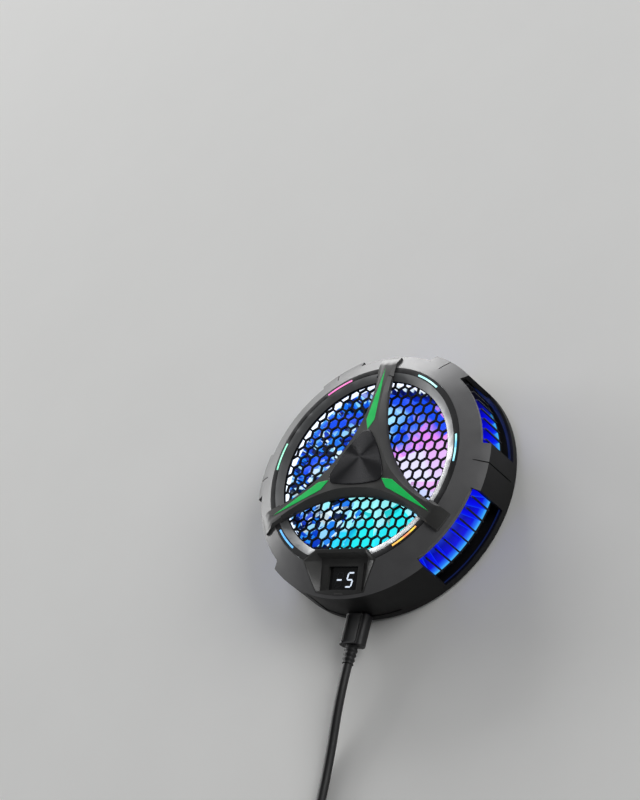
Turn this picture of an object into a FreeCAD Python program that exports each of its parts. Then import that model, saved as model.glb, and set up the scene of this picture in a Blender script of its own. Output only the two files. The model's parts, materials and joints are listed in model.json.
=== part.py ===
import FreeCAD, Part
import math
import os
import Sketcher
from types import SimpleNamespace
from FreeCAD import Placement, Rotation, Vector

# A magnetic cooler for tablets, in millimetres. The origin is the centre of the
# contact face, +Z points out of the grille, and the display and the lead are at -Y.

# Driving sizes: name, value, what it is.
SIZES = [
    # Contact side
    ("pad_inner", 33.0, "inner radius of the soft contact ring"),
    ("pad_thick", 1.2, "thickness of the soft contact ring"),
    ("plate_radius", 30.6, "radius of the cold face"),
    ("plate_step", 2.9, "width of the cold plate's hidden flange"),
    ("plate_flange_thick", 1.2, "thickness of that flange"),
    ("plate_gap", 0.4, "gap between the cold face and the tray"),
    ("floor_thick", 1.6, "thickness of the tray's floor"),
    ("rim_radius", 58.4, "radius of the tray's rim"),
    ("pad_inset", 2.8, "distance from the rim to the soft contact ring's edge"),
    ("rim_top", 4.0, "height of the rim's upper edge"),
    ("rim_width", 1.25, "width of the rim's upper edge"),
    ("rim_slope", 1.7, "width of the slope inside the rim"),
    ("rim_foot", 0.4, "height of the rim above the contact face"),
    ("rim_chamfer", 0.6, "chamfer under the rim"),
    ("pad_gap", 0.2, "gap between the ring pad and the tray"),
    ("magnet_count", 12, "magnets in the tray"),
    ("magnet_radius", 3.0, "radius of a magnet"),
    ("magnet_thick", 2.0, "thickness of a magnet"),
    ("magnet_circle", 44.3, "radius of the circle of magnets"),
    ("yoke_width", 7.6, "width of the steel ring over the magnets"),
    ("yoke_thick", 1.0, "thickness of that ring"),
    # Cooling stack
    ("tec_side", 40.0, "side of the thermoelectric element"),
    ("ceramic_thick", 0.65, "thickness of its two ceramic plates"),
    ("pellet_tall", 2.1, "height of its pellets"),
    ("pellet_side", 2.2, "side of a pellet"),
    ("pellet_count", 8, "pellets along one side"),
    ("seal_gap", 0.4, "gap between the element and its foam ring"),
    ("seal_radius", 30.0, "outer radius of the foam ring"),
    ("sink_thick", 2.0, "thickness of the heat sink's base"),
    ("flange_inset", 0.5, "distance from the fins' outer edges to the flange that they stand on"),
    ("fin_thick", 0.7, "thickness of a fin"),
    ("fins_per_sector", 11, "fins in a sixth of a turn"),
    ("fin_inner", 41.0, "inner radius of the tall fins"),
    ("fin_inset", 2.9, "distance from the rim's radius to the tall fins"),
    ("fin_overhang", 5.6, "reach of the tall fins beyond the heat sink's base"),
    ("fin_foot", 8.3, "height where the tall fins start"),
    ("fin_top", 22.2, "height of the tall fins' tops"),
    ("fin_corner", 1.0, "chamfer at their upper outer corner"),
    ("low_fin_count", 30, "low fins under the fan"),
    ("low_fin_inner", 17.5, "inner radius of the low fins"),
    ("low_fin_tall", 2.6, "height of the low fins"),
    ("display_fin_gap", 20.0, "half angle without tall fins behind the display"),
    # Fan
    ("fan_base_radius", 15.5, "radius of the fan's base"),
    ("fan_base_thick", 1.2, "thickness of the fan's base"),
    ("shaft_radius", 1.5, "radius of the fan's shaft"),
    ("shaft_gap", 0.04, "running gap in the bearing"),
    ("bearing_wall", 2.4, "wall of the bearing"),
    ("bearing_tall", 9.6, "height of the bearing"),
    ("stator_radius", 11.0, "radius of the stator"),
    ("stator_tall", 5.0, "height of the stator's laminations"),
    ("stator_lift", 2.6, "height of the stator above the fan's base"),
    ("stator_poles", 6, "poles of the stator"),
    ("coil_thick", 1.1, "build-up of a winding"),
    ("air_gap", 0.7, "gap between the stator and the magnet ring"),
    ("ring_magnet_wall", 1.2, "wall of the rotor's magnet ring"),
    ("rotor_yoke_wall", 0.6, "wall of the rotor's steel ring"),
    ("hub_wall", 1.1, "wall of the hub"),
    ("hub_foot", 12.6, "height of the hub's lower edge"),
    ("hub_top", 23.0, "height of the hub's top"),
    ("hub_cap_thick", 1.5, "thickness of the hub's top"),
    ("blade_count", 9, "blades of the fan"),
    ("blade_tip", 38.0, "radius of the blade tips"),
    ("blade_foot", 13.6, "height of the blades' lower edge"),
    ("blade_tall", 9.0, "height of the blades"),
    ("blade_root_sweep", 26.0, "angle that a blade covers at the hub"),
    ("blade_tip_sweep", 25.0, "angle that a blade covers at its tip"),
    ("blade_thick", 1.0, "thickness of a blade"),
    ("blade_crown", 1.6, "crown of a blade's section"),
    # Front shell
    ("shell_inner", 46.85, "radius where the shell meets the light ring"),
    ("shell_inner_top", 28.55, "height of the shell there"),
    ("window_deep", 3.5, "distance from the shell's corner to its edge over a window"),
    ("window_edge_top", 24.3, "height of that edge"),
    ("wall_lean", 0.3, "lean of the shell's wall from its foot to its outer corner"),
    ("corner_top", 21.9, "height of that corner"),
    ("wall_setback", 0.1, "step from the rim in to the foot of the shell's wall"),
    ("wall_thick", 1.9, "thickness of the shell's wall"),
    ("front_thick", 1.8, "thickness of the shell's front"),
    ("shelf_inner", 41.2, "inner radius of the shelf for the ring board"),
    ("shelf_thick", 1.6, "thickness of that shelf"),
    ("shelf_top", 24.2, "height of that shelf"),
    ("window_half", 19.25, "half angle of a side window"),
    ("seam_wide", 0.5, "width of a seam groove"),
    ("seam_deep", 0.6, "depth of a seam groove"),
    ("seam_inner", 52.0, "radius where a seam groove starts"),
    ("seam_turn", 2.0, "angle from a pillar's middle to its seam"),
    ("boss_inset", 5.0, "distance from the rim's radius to the middle of a screw boss"),
    ("boss_radius", 2.9, "radius of a screw boss"),
    ("boss_gap", 0.4, "gap between a boss and the fins"),
    ("screw_radius", 0.95, "radius of a screw's shank"),
    ("screw_gap", 0.08, "gap round a screw's shank"),
    ("screw_head_radius", 1.9, "radius of a screw's head"),
    ("screw_head_thick", 1.0, "thickness of a screw's head"),
    ("screw_head_gap", 0.2, "gap round a screw's head"),
    ("boss_seat_gap", 0.1, "gap round a boss in the tray"),
    ("screw_long", 9.0, "length of a screw's shank"),
    # Light ring and grille
    ("ring_gap", 0.1, "gap between the light ring and the shell"),
    ("ring_outer_top", 28.6, "height of the light ring's outer edge"),
    ("ring_inner", 44.15, "radius of the light ring's inner edge"),
    ("ring_inner_top", 28.9, "height of the light ring's inner edge"),
    ("funnel_foot", 40.6, "radius of the funnel's foot"),
    ("funnel_foot_top", 27.5, "height of the funnel's foot"),
    ("ring_under", 26.9, "height of the light ring's underside"),
    ("ring_skirt", 0.7, "width of the light ring's outer skirt"),
    ("grille_radius", 42.4, "radius of the grille"),
    ("grille_top", 27.3, "height of the grille's face"),
    ("grille_thick", 0.9, "thickness of the grille"),
    ("grille_gap", 0.1, "gap round the grille"),
    ("mesh_radius", 40.4, "radius of the grille's open mesh"),
    ("mesh_pitch", 5.05, "distance from one hexagon to the next"),
    ("mesh_wall", 0.8, "wall between two hexagons"),
    ("bar_radius", 45.2, "radius of the light bars' middle"),
    ("bar_wide", 0.7, "width of a light bar"),
    ("bar_half", 8.0, "half angle of a light bar"),
    ("bar_gap", 0.08, "gap round a light bar"),
    ("bar_proud", 0.08, "height of a light bar above the ring"),
    ("bar_foot_wide", 2.0, "width of a light bar's foot"),
    ("bar_foot_thick", 0.6, "thickness of a light bar's foot"),
    ("led_board_thick", 1.0, "thickness of the ring board"),
    ("led_board_inner", 41.5, "inner radius of the ring board"),
    ("led_tall", 0.7, "height of a lamp on the ring board"),
    ("led_side", 1.8, "side of a lamp"),
    ("inner_led_count", 24, "lamps that shine on the fan"),
    # Spider, inlays and cap
    ("spider_top", 31.6, "height of the spider's middle"),
    ("spider_flat", 15.0, "radius of its flat middle"),
    ("arm_end", 47.2, "radius where an arm's top ends"),
    ("arm_end_top", 30.0, "height of an arm's top there"),
    ("arm_half", 4.35, "half width of an arm below its chamfers"),
    ("arm_top_half", 3.4, "half width of an arm's top at its end"),
    ("arm_shoulder", 28.9, "height where the chamfers along the arms begin"),
    ("waist_top", 11.5, "distance of the spider's upper edge between two arms"),
    ("waist_shoulder", 13.8, "distance of the shoulder between two arms"),
    ("waist_foot", 14.3, "distance of the spider's lower edge between two arms"),
    ("hook_setback", 1.7, "distance from a window's edge to an arm's hooked end"),
    ("hook_top", 26.5, "height of that end"),
    ("spider_gap", 0.05, "gap under the spider"),
    ("peg_radius", 1.2, "radius of a spider's peg"),
    ("peg_gap", 0.15, "gap round a peg"),
    ("peg_circle", 49.6, "radius of the circle of pegs"),
    ("peg_foot", 24.4, "height of a peg's end"),
    ("inlay_start", 15.6, "radius of an inlay's inner point"),
    ("inlay_wide_at", 20.5, "radius where an inlay is widest"),
    ("inlay_half", 2.1, "half width of an inlay"),
    ("inlay_end", 45.8, "radius of an inlay's sharp end"),
    ("inlay_deep", 0.6, "depth of an inlay in the arm"),
    ("inlay_proud", 0.1, "height of an inlay above the arm"),
    ("inlay_gap", 0.06, "gap round an inlay"),
    ("cap_reach", 15.2, "distance of the cap's corners from the axis"),
    ("cap_corner", 3.4, "radius of the cap's corners"),
    ("cap_bulge", 0.9, "bulge of the cap's sides"),
    ("cap_deep", 0.9, "depth of the cap's seat"),
    ("cap_proud", 0.35, "height of the cap above the spider"),
    ("cap_gap", 0.15, "gap round the cap"),
    # Display housing
    ("hood_half", 12.8, "half width of the hood's upper edge"),
    ("hood_edge", 38.4, "distance of that edge from the axis"),
    ("hood_top", 28.75, "height of the hood"),
    ("shoulder_half", 18.4, "half width of the housing at its shoulders"),
    ("shoulder_at", 43.3, "distance of the shoulders from the axis"),
    ("housing_setback", 1.3, "distance from the shell's corner to the housing's end"),
    ("housing_end_half", 12.3, "half width of the housing at its end"),
    ("housing_gap", 0.1, "gap round the housing"),
    ("pocket_start", 41.0, "distance of the pocket floor's upper edge"),
    ("pocket_top", 24.65, "height of the pocket's floor there"),
    ("pocket_long", 14.3, "length of the pocket's floor"),
    ("pocket_drop", 3.1, "drop of the pocket's floor along it"),
    ("pocket_half", 11.8, "half width of the pocket's floor at its upper edge"),
    ("pocket_end_half", 10.9, "half width of the pocket's floor at its end"),
    ("pocket_land", 0.45, "land round the pocket"),
    ("hood_lip", 28.2, "height of the hood's inner edge"),
    ("hood_slope", 1.5, "width of the hood's sloped band"),
    ("pocket_floor_thick", 1.4, "thickness of the pocket's floor"),
    ("display_wide", 15.0, "width of the display's window"),
    ("display_tall", 10.0, "height of the display's window"),
    ("display_from", 3.1, "distance from the pocket's upper edge to the window"),
    ("bezel_half", 10.3, "half width of the raised frame round the window"),
    ("bezel_margin", 1.1, "height of the frame above and below the window"),
    ("bezel_proud", 0.4, "height of the frame above the pocket's floor"),
    ("module_border", 0.8, "border of the display behind the window's edge"),
    ("module_thick", 2.2, "thickness of the display"),
    ("digit_tall", 6.5, "height of a digit"),
    ("digit_wide", 3.5, "width of a digit"),
    ("digit_stroke", 0.62, "width of a digit's stroke"),
    ("digit_slant", 13.0, "slant of the digits"),
    ("digit_pitch", 5.3, "distance from one digit to the next"),
    ("digit_proud", 0.1, "height of the digits above the display"),
    ("display_board_thick", 1.0, "thickness of the display's board"),
    ("tab_half", 2.2, "half width of the tab below the pocket"),
    ("tab_tall", 0.25, "height of that tab"),
    # Electronics
    ("board_half", 11.0, "half width of the main board"),
    ("board_deep", 7.6, "depth of the main board"),
    ("board_inset", 3.3, "distance from the wall's outside to the main board"),
    ("board_thick", 1.0, "thickness of the main board"),
    ("board_lift", 0.4, "height of the main board above the tray's floor"),
    ("socket_wide", 8.94, "width of the socket"),
    ("socket_tall", 3.16, "height of the socket"),
    ("socket_wall", 0.25, "wall of the socket"),
    ("socket_long", 7.3, "length of the socket"),
    ("socket_inset", 0.9, "depth of the socket's mouth in the wall"),
    ("socket_gap", 0.15, "gap round the socket in the wall"),
    ("tongue_wide", 6.6, "width of the socket's tongue"),
    ("tongue_thick", 0.7, "thickness of the socket's tongue"),
    ("tongue_long", 4.6, "length of the socket's tongue"),
    ("wall_top", 20.4, "height of the wall behind the socket"),
    ("wall_back_inset", 0.5, "distance from the rim's radius to that wall"),
    ("wall_back_thick", 1.7, "thickness of that wall"),
    ("wall_gap", 0.12, "gap beside that wall, in degrees"),
    ("wire_radius", 0.55, "radius of a wire"),
    # Lead
    ("plug_wide", 8.25, "width of the plug's metal shell"),
    ("plug_tall", 2.4, "height of the plug's metal shell"),
    ("plug_wall", 0.35, "wall of the plug's metal shell"),
    ("plug_reach", 6.0, "length of the plug in the socket"),
    ("plug_body_wide", 11.6, "width of the plug's grip"),
    ("plug_body_tall", 6.2, "height of the plug's grip"),
    ("plug_body_long", 13.6, "length of the plug's grip"),
    ("plug_body_gap", 0.5, "gap between the wall and the plug's grip"),
    ("relief_long", 8.0, "length of the strain relief"),
    ("relief_wide", 6.4, "width of the strain relief at the grip"),
    ("relief_end", 5.0, "width of the strain relief at the cable"),
    ("cable_radius", 2.0, "radius of the cable"),
    ("coil_mid", 23.2, "mean radius of the coil"),
    ("coil_pitch", 4.65, "distance from one turn of the coil to the next"),
    ("coil_turns", 1.375, "turns in a layer between two climbs"),
    ("coil_layers", 4, "layers of the coil"),
    ("tie_thick", 1.0, "thickness of the coil's tie"),
    ("tie_wide", 8.0, "width of the coil's tie"),
    ("tie_gap", 0.3, "gap between the coil and its tie"),
    ("far_relief_long", 12.0, "length of the far strain relief"),
    ("far_body_wide", 15.8, "width of the far plug's grip"),
    ("far_body_tall", 8.0, "height of the far plug's grip"),
    ("far_body_long", 20.0, "length of the far plug's grip"),
    ("far_shell_wide", 12.0, "width of the far plug's shell"),
    ("far_shell_tall", 4.5, "height of the far plug's shell"),
    ("far_shell_wall", 0.3, "wall of the far plug's shell"),
    ("far_shell_long", 13.0, "length of the far plug's shell"),
]

doc = FreeCAD.newDocument("tablet_cooler")
sheet = doc.addObject("Spreadsheet::Sheet", "sizes")
for row, (name, value, meaning) in enumerate(SIZES, 1):
    sheet.set(f"A{row}", meaning)
    sheet.set(f"B{row}", str(value))
    sheet.setAlias(f"B{row}", name)
doc.recompute()

NODES = {}


class Length(float):
    """A size, or a sum of sizes, that also knows its expression on the sheet."""

    def __new__(cls, value, text):
        length = super().__new__(cls, value)
        length.text = text
        return length

    def __add__(self, other):
        return Length(float(self) + float(other), f"({words(self)} + {words(other)})")

    def __radd__(self, other):
        return Length(float(other) + float(self), f"({words(other)} + {words(self)})")

    def __sub__(self, other):
        return Length(float(self) - float(other), f"({words(self)} - {words(other)})")

    def __rsub__(self, other):
        return Length(float(other) - float(self), f"({words(other)} - {words(self)})")

    def __mul__(self, other):
        return Length(float(self) * float(other), f"({words(self)} * {words(other)})")

    def __rmul__(self, other):
        return Length(float(other) * float(self), f"({words(other)} * {words(self)})")

    def __truediv__(self, other):
        return Length(float(self) / float(other), f"({words(self)} / {words(other)})")

    def __neg__(self):
        return Length(-float(self), f"(-{words(self)})")


def words(value):
    """The expression of a size, or a plain number in brackets."""
    return value.text if isinstance(value, Length) else f"({float(value):.6f})"


S = SimpleNamespace(**{name: Length(sheet.get(name), "sizes." + name) for name, value, meaning in SIZES})


def node(name, thing):
    """Keeps a finished piece under its own name."""
    thing.Label = name
    NODES[name] = thing
    return thing


def made(name, shape):
    """A piece whose shape the functions below have worked out."""
    return node(name, helper(name, shape))


def helper(name, shape):
    """A tool or a rough shape that isn't a piece itself."""
    feature = doc.addObject("Part::Feature", name)
    place = shape.Placement
    feature.Shape = shape
    feature.Placement = place
    return feature


# Shapes that several pieces share


def face_of(points):
    """A flat face with straight sides."""
    return Part.Face(Part.makePolygon(points + [points[0]]))


def turned(profile):
    """A ring or disc about the Z axis from pairs of radius and height."""
    face = face_of([Vector(r, 0, z) for r, z in profile])
    return face.revolve(Vector(0, 0, 0), Vector(0, 0, 1), 360)


def prism(outline, low, high):
    """An upright prism on a plan outline."""
    face = face_of([Vector(x, y, low) for x, y in outline])
    return face.extrude(Vector(0, 0, high - low))


def around(radius, angle, height=0.0):
    """The point at that radius and angle, in degrees."""
    turn = math.radians(angle)
    return Vector(radius * math.cos(turn), radius * math.sin(turn), height)


def sector(inner, outer, middle, half, low, high):
    """A curved block: part of a ring between two angles."""
    points = [around(r, middle + s * half, low) for r, s in
              ((inner, -1), (outer, -1), (outer, 1), (inner, 1))]
    edges = [
        Part.LineSegment(points[0], points[1]),
        Part.Arc(points[1], around(outer, middle, low), points[2]),
        Part.LineSegment(points[2], points[3]),
        Part.Arc(points[3], around(inner, middle, low), points[0]),
    ]
    wire = Part.Wire([edge.toShape() for edge in edges])
    return Part.Face(wire).extrude(Vector(0, 0, high - low))


def spun(shape, angle):
    """The shape turned about the Z axis."""
    copy = shape.copy()
    copy.rotate(Vector(0, 0, 0), Vector(0, 0, 1), angle)
    return copy


def upright(radius, low, high, x=0.0, y=0.0):
    """A round pin on the plan point."""
    return Part.makeCylinder(radius, high - low, Vector(x, y, low))


def block(x0, x1, y0, y1, z0, z1):
    return Part.makeBox(x1 - x0, y1 - y0, z1 - z0, Vector(x0, y0, z0))


def rounded_bar(wide, tall, long, height, front):
    """A bar along -Y with round sides, its near face at the given distance."""
    radius = tall / 2
    flat = wide / 2 - radius
    top, low = height + radius, height - radius
    y = -front
    edges = [
        Part.LineSegment(Vector(-flat, y, low), Vector(flat, y, low)),
        Part.Arc(Vector(flat, y, low), Vector(flat + radius, y, height), Vector(flat, y, top)),
        Part.LineSegment(Vector(flat, y, top), Vector(-flat, y, top)),
        Part.Arc(Vector(-flat, y, top), Vector(-flat - radius, y, height), Vector(-flat, y, low)),
    ]
    wire = Part.Wire([edge.toShape() for edge in edges])
    return Part.Face(wire).extrude(Vector(0, -long, 0))


# Turned pieces as sketched bodies


def origin_plane(body, role):
    for feature in body.Origin.OriginFeatures:
        if feature.Role == role:
            return feature


def turned_body(name, corners):
    """A body turned about Z from an outline of straight sides bound to the sheet."""
    body = doc.addObject("PartDesign::Body", name + "_body")
    sketch = body.newObject("Sketcher::SketchObject", name + "_outline")
    sketch.AttachmentSupport = [(origin_plane(body, "XZ_Plane"), "")]
    sketch.MapMode = "FlatFace"
    points = [Vector(r, z, 0) for r, z in corners]
    for start, end in zip(points, points[1:] + points[:1], strict=True):
        sketch.addGeometry(Part.LineSegment(start, end), False)
    count = len(points)
    for i in range(count):
        sketch.addConstraint(Sketcher.Constraint("Coincident", i, 2, (i + 1) % count, 1))
    for i, (r, z) in enumerate(corners):
        for kind, value, axis in (("DistanceX", r, -2), ("DistanceY", z, -1)):
            if value == 0:
                sketch.addConstraint(Sketcher.Constraint("PointOnObject", i, 1, axis))
            else:
                index = sketch.addConstraint(Sketcher.Constraint(kind, -1, 1, i, 1, float(value)))
                sketch.setExpression(f"Constraints[{index}]", words(value))
    turn = body.newObject("PartDesign::Revolution", name + "_turn")
    turn.Profile = sketch
    turn.ReferenceAxis = (sketch, ["V_Axis"])
    turn.Angle = 360.0
    body.Tip = turn
    return body


def disc_body(name, radius, low, high, bore=0):
    """A disc, a pin or a ring about Z."""
    return turned_body(name, [(bore, low), (radius, low), (radius, high), (bore, high)])


def pin_circle(name, radius, circle, low, long, count):
    """Round pins on a circle about Z, the first one half a step past the X axis."""
    body = doc.addObject("PartDesign::Body", name + "_body")
    sketch = body.newObject("Sketcher::SketchObject", name + "_outline")
    sketch.AttachmentSupport = [(origin_plane(body, "XY_Plane"), "")]
    sketch.MapMode = "FlatFace"
    sketch.setExpression("AttachmentOffset.Base.z", words(low))
    sketch.setExpression("AttachmentOffset.Rotation.Angle", f"180 / {words(count)}")
    sketch.addGeometry(Part.Circle(Vector(circle, 0, 0), Vector(0, 0, 1), float(radius)), False)
    sketch.addConstraint(Sketcher.Constraint("PointOnObject", 0, 3, -1))
    for kind, place, value in (("Radius", (0,), radius), ("DistanceX", (-1, 1, 0, 3), circle)):
        index = sketch.addConstraint(Sketcher.Constraint(kind, *place, float(value)))
        sketch.setExpression(f"Constraints[{index}]", words(value))
    pad = body.newObject("PartDesign::Pad", name + "_pad")
    pad.Profile = sketch
    pad.setExpression("Length", words(long))
    pattern = body.newObject("PartDesign::PolarPattern", name + "_pattern")
    pattern.Originals = [pad]
    pattern.Axis = (sketch, ["N_Axis"])
    pattern.Angle = 360.0
    pattern.setExpression("Occurrences", words(count))
    body.Tip = pattern
    return body


def box_piece(name, x0, x1, y0, y1, z0, z1):
    """A box whose sides and place are bound to the sheet."""
    box = doc.addObject("Part::Box", name)
    for side, value in (("Length", x1 - x0), ("Width", y1 - y0), ("Height", z1 - z0)):
        box.setExpression(side, words(value))
    for axis, value in (("x", x0), ("y", y0), ("z", z0)):
        box.setExpression("Placement.Base." + axis, words(value))
    return box


def joined(name, base, *shapes):
    """A piece with others fused to it."""
    union = doc.addObject("Part::MultiFuse", name)
    union.Shapes = [base] + [helper(f"{name}_part_{i}", shape) for i, shape in enumerate(shapes, 1)]
    return union


def cut_by(name, base, shape):
    """A piece with a shape taken out of it."""
    cut = doc.addObject("Part::Cut", name)
    cut.Base = base
    cut.Tool = helper(name + "_tool", shape)
    return cut


SIXTH = 60.0
PILLARS = [SIXTH * i for i in range(6)]
SEAM_PILLARS = [0.0, 60.0, 120.0, 180.0]
WINDOWS = [-30.0, 30.0, 90.0, 150.0, 210.0]
DISPLAY_AT = -90.0
ARMS = [90.0, -30.0, 210.0]
CLEAR_BELOW, CLEAR_ABOVE = -10.0, 60.0

# The outer pieces take their places from the rim.
wall_foot = S.rim_radius - S.wall_setback
corner_radius = wall_foot - S.wall_lean
window_edge = corner_radius - S.window_deep
hook_radius = window_edge - S.hook_setback
housing_end = corner_radius - S.housing_setback
boss_circle = S.rim_radius - S.boss_inset
fin_outer = S.rim_radius - S.fin_inset
sink_radius = fin_outer - S.fin_overhang
pad_outer = S.rim_radius - S.pad_inset
wall_back_radius = S.rim_radius - S.wall_back_inset
socket_mouth = wall_back_radius - S.socket_inset
board_to = wall_back_radius - S.board_inset
board_from = board_to - S.board_deep

# Contact side

floor_low = S.pad_thick
floor_top = floor_low + S.floor_thick
plate_top = floor_top + S.plate_flange_thick
flange_radius = S.plate_radius + S.plate_step
tray_inner = S.plate_radius + S.plate_gap
rim_inner = wall_foot - S.rim_width

node("contact_pad", disc_body("contact_pad", pad_outer, 0, S.pad_thick, S.pad_inner))

node("cold_plate", turned_body("cold_plate", [
    (0, 0), (S.plate_radius, 0), (S.plate_radius, floor_top), (flange_radius, floor_top),
    (flange_radius, plate_top), (0, plate_top)]))

tray = turned_body("tray", [
    (tray_inner, floor_low), (pad_outer + S.pad_gap, floor_low), (pad_outer + S.pad_gap, S.rim_foot),
    (S.rim_radius - S.rim_chamfer, S.rim_foot), (S.rim_radius, S.rim_foot + S.rim_chamfer),
    (wall_foot, S.rim_top), (rim_inner, S.rim_top), (rim_inner - S.rim_slope, floor_top),
    (tray_inner, floor_top)])

board_low = floor_top + S.board_lift
board_top = board_low + S.board_thick
socket_mid = board_top + S.socket_tall / 2
socket_back = socket_mouth - S.socket_long
boss_points = [around(boss_circle, angle) for angle in PILLARS]
POST = 3.0


def socket_wall():
    """The wall that stands on the rim behind the lead, with the posts of the main board."""
    inner = wall_back_radius - S.wall_back_thick
    wall = sector(inner, wall_back_radius, DISPLAY_AT, S.window_half - S.wall_gap, floor_top, S.wall_top)
    post_at = S.board_half - POST / 2
    posts = [block(s * post_at - POST / 2, s * post_at + POST / 2, -board_to, -board_from,
                   floor_low + S.floor_thick / 2, board_low) for s in (-1, 1)]
    return wall.multiFuse(posts)


def tray_openings():
    """The socket's hole, and for each case screw its hole, its seat and the boss's seat."""
    hole = rounded_bar(S.socket_wide + 2 * S.socket_gap, S.socket_tall + 2 * S.socket_gap,
                       S.socket_long, socket_mid, socket_back + S.wall_back_thick)
    found = [hole]
    for p in boss_points:
        found.append(upright(S.screw_radius + 2 * S.screw_gap, CLEAR_BELOW, floor_top + 1, p.x, p.y))
        found.append(upright(S.screw_head_radius + S.screw_head_gap, CLEAR_BELOW,
                             floor_low + S.screw_head_thick, p.x, p.y))
        found.append(upright(S.boss_radius + S.boss_seat_gap, floor_top, CLEAR_ABOVE, p.x, p.y))
    return Part.makeCompound(found)


node("rear_shell", cut_by("rear_shell", joined("tray_with_wall", tray, socket_wall()), tray_openings()))

node("magnets", pin_circle("magnets", S.magnet_radius, S.magnet_circle, floor_top, S.magnet_thick,
                           S.magnet_count))

yoke_low = floor_top + S.magnet_thick
yoke_top = yoke_low + S.yoke_thick
node("magnet_yoke", disc_body("magnet_yoke", S.magnet_circle + S.yoke_width / 2, yoke_low, yoke_top,
                              S.magnet_circle - S.yoke_width / 2))

# Thermoelectric element


half_side = S.tec_side / 2
pellet_low = plate_top + S.ceramic_thick
pellet_top = pellet_low + S.pellet_tall
tec_top = pellet_top + S.ceramic_thick
node("tec_cold_ceramic", box_piece("tec_cold_ceramic", -half_side, half_side, -half_side, half_side,
                                   plate_top, pellet_low))
node("tec_hot_ceramic", box_piece("tec_hot_ceramic", -half_side, half_side, -half_side, half_side,
                                  pellet_top, tec_top))


def pellets():
    count = int(S.pellet_count)
    pitch = S.tec_side / count
    half = S.pellet_side / 2
    middles = [(i + 0.5) * pitch - half_side for i in range(count)]
    return Part.makeCompound([
        block(x - half, x + half, y - half, y + half, pellet_low, pellet_top)
        for x in middles for y in middles])


made("tec_pellets", pellets())

wire_height = (yoke_top + tec_top) / 2
LEAD_AT = [8.0, 9.8]


def foam_ring():
    """A foam disc with a square hole and two channels for the element's leads."""
    disc = upright(S.seal_radius, plate_top, tec_top)
    half = half_side + S.seal_gap
    hole = block(-half, half, -half, half, plate_top - 1, tec_top + 1)
    channels = [block(x - 2 * S.wire_radius, x + 2 * S.wire_radius, -S.seal_radius - 1, 1 - half,
                      wire_height - 2 * S.wire_radius, tec_top + 1) for x in LEAD_AT]
    return disc.cut(hole.multiFuse(channels))


made("tec_seal", foam_ring())

# Heat sink

FIN_PITCH = SIXTH / float(S.fins_per_sector)
sink_top = tec_top + S.sink_thick


def tall_fin_angles():
    """Fins stand evenly about the middle of each window, and none behind the display."""
    count = int(6 * S.fins_per_sector)
    angles = [WINDOWS[0] + i * FIN_PITCH for i in range(count)]
    return [angle for angle in angles if away_from_display(angle) > S.display_fin_gap]


def away_from_display(angle):
    return abs((angle - DISPLAY_AT + 180) % 360 - 180)


def sink_fins():
    """The tall fins, and the low ones that leave a way for the fan's lead."""
    half = S.fin_thick / 2
    outline = [(S.fin_inner, S.fin_foot), (fin_outer, S.fin_foot),
               (fin_outer, S.fin_top - S.fin_corner), (fin_outer - S.fin_corner, S.fin_top),
               (S.fin_inner, S.fin_top)]
    side = face_of([Vector(x, -half, z) for x, z in outline])
    fin = side.extrude(Vector(0, S.fin_thick, 0))
    low_fin = block(S.low_fin_inner, S.fin_inner - 1.0, -half, half,
                    sink_top - S.sink_thick / 4, sink_top + S.low_fin_tall)
    low_pitch = 360.0 / float(S.low_fin_count)
    low_angles = [DISPLAY_AT + (i + 0.5) * low_pitch for i in range(int(S.low_fin_count))]
    fins = [spun(fin, angle) for angle in tall_fin_angles()]
    return fins + [spun(low_fin, angle) for angle in low_angles if away_from_display(angle) > 2 * low_pitch]


def sink_notches():
    """Room for the bosses, open to the outside, and for the leads behind the display."""
    radius = S.boss_radius + S.boss_gap
    notch = upright(radius, CLEAR_BELOW, CLEAR_ABOVE, boss_circle)
    notch = notch.fuse(block(boss_circle, boss_circle + 10, -radius, radius, CLEAR_BELOW, CLEAR_ABOVE))
    leads = sector(sink_radius, fin_outer + 5, DISPLAY_AT, S.display_fin_gap, tec_top, sink_top + 1)
    return Part.makeCompound([spun(notch, angle) for angle in PILLARS] + [leads])


flange = fin_outer - S.flange_inset
sink_base = turned_body("sink_base", [(0, tec_top), (sink_radius, tec_top), (sink_radius, S.fin_foot),
                                      (flange, S.fin_foot), (flange, sink_top), (0, sink_top)])
node("heat_sink", cut_by("heat_sink", joined("sink_with_fins", sink_base, *sink_fins()), sink_notches()))

# Fan

base_top = sink_top + S.fan_base_thick
bearing_bore = S.shaft_radius + S.shaft_gap
bearing_outer = bearing_bore + S.bearing_wall
bearing_top = base_top + S.bearing_tall
node("fan_base", disc_body("fan_base", S.fan_base_radius, sink_top, base_top))
node("fan_bearing", disc_body("fan_bearing", bearing_outer, base_top, bearing_top, bearing_bore))

stator_low = base_top + S.stator_lift
stator_high = stator_low + S.stator_tall
POLE_NECK = 2.4
POLE_SHOE = 1.6
HUB_RING = 2.0


def stator_poles():
    """The necks of the poles, with a shoe on the end of each."""
    radius = S.stator_radius
    step = 360.0 / float(S.stator_poles)
    found = []
    for i in range(int(S.stator_poles)):
        neck = block(bearing_outer + HUB_RING / 2, radius - 0.3, -POLE_NECK / 2, POLE_NECK / 2,
                     stator_low, stator_high)
        shoe = sector(radius - POLE_SHOE, radius, 0, step * 0.42, stator_low, stator_high)
        found.append(spun(neck.fuse(shoe), i * step))
    return found


stator_ring = disc_body("stator_ring", bearing_outer + HUB_RING, stator_low, stator_high, bearing_outer)
node("stator_core", joined("stator_core", stator_ring, *stator_poles()))


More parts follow.
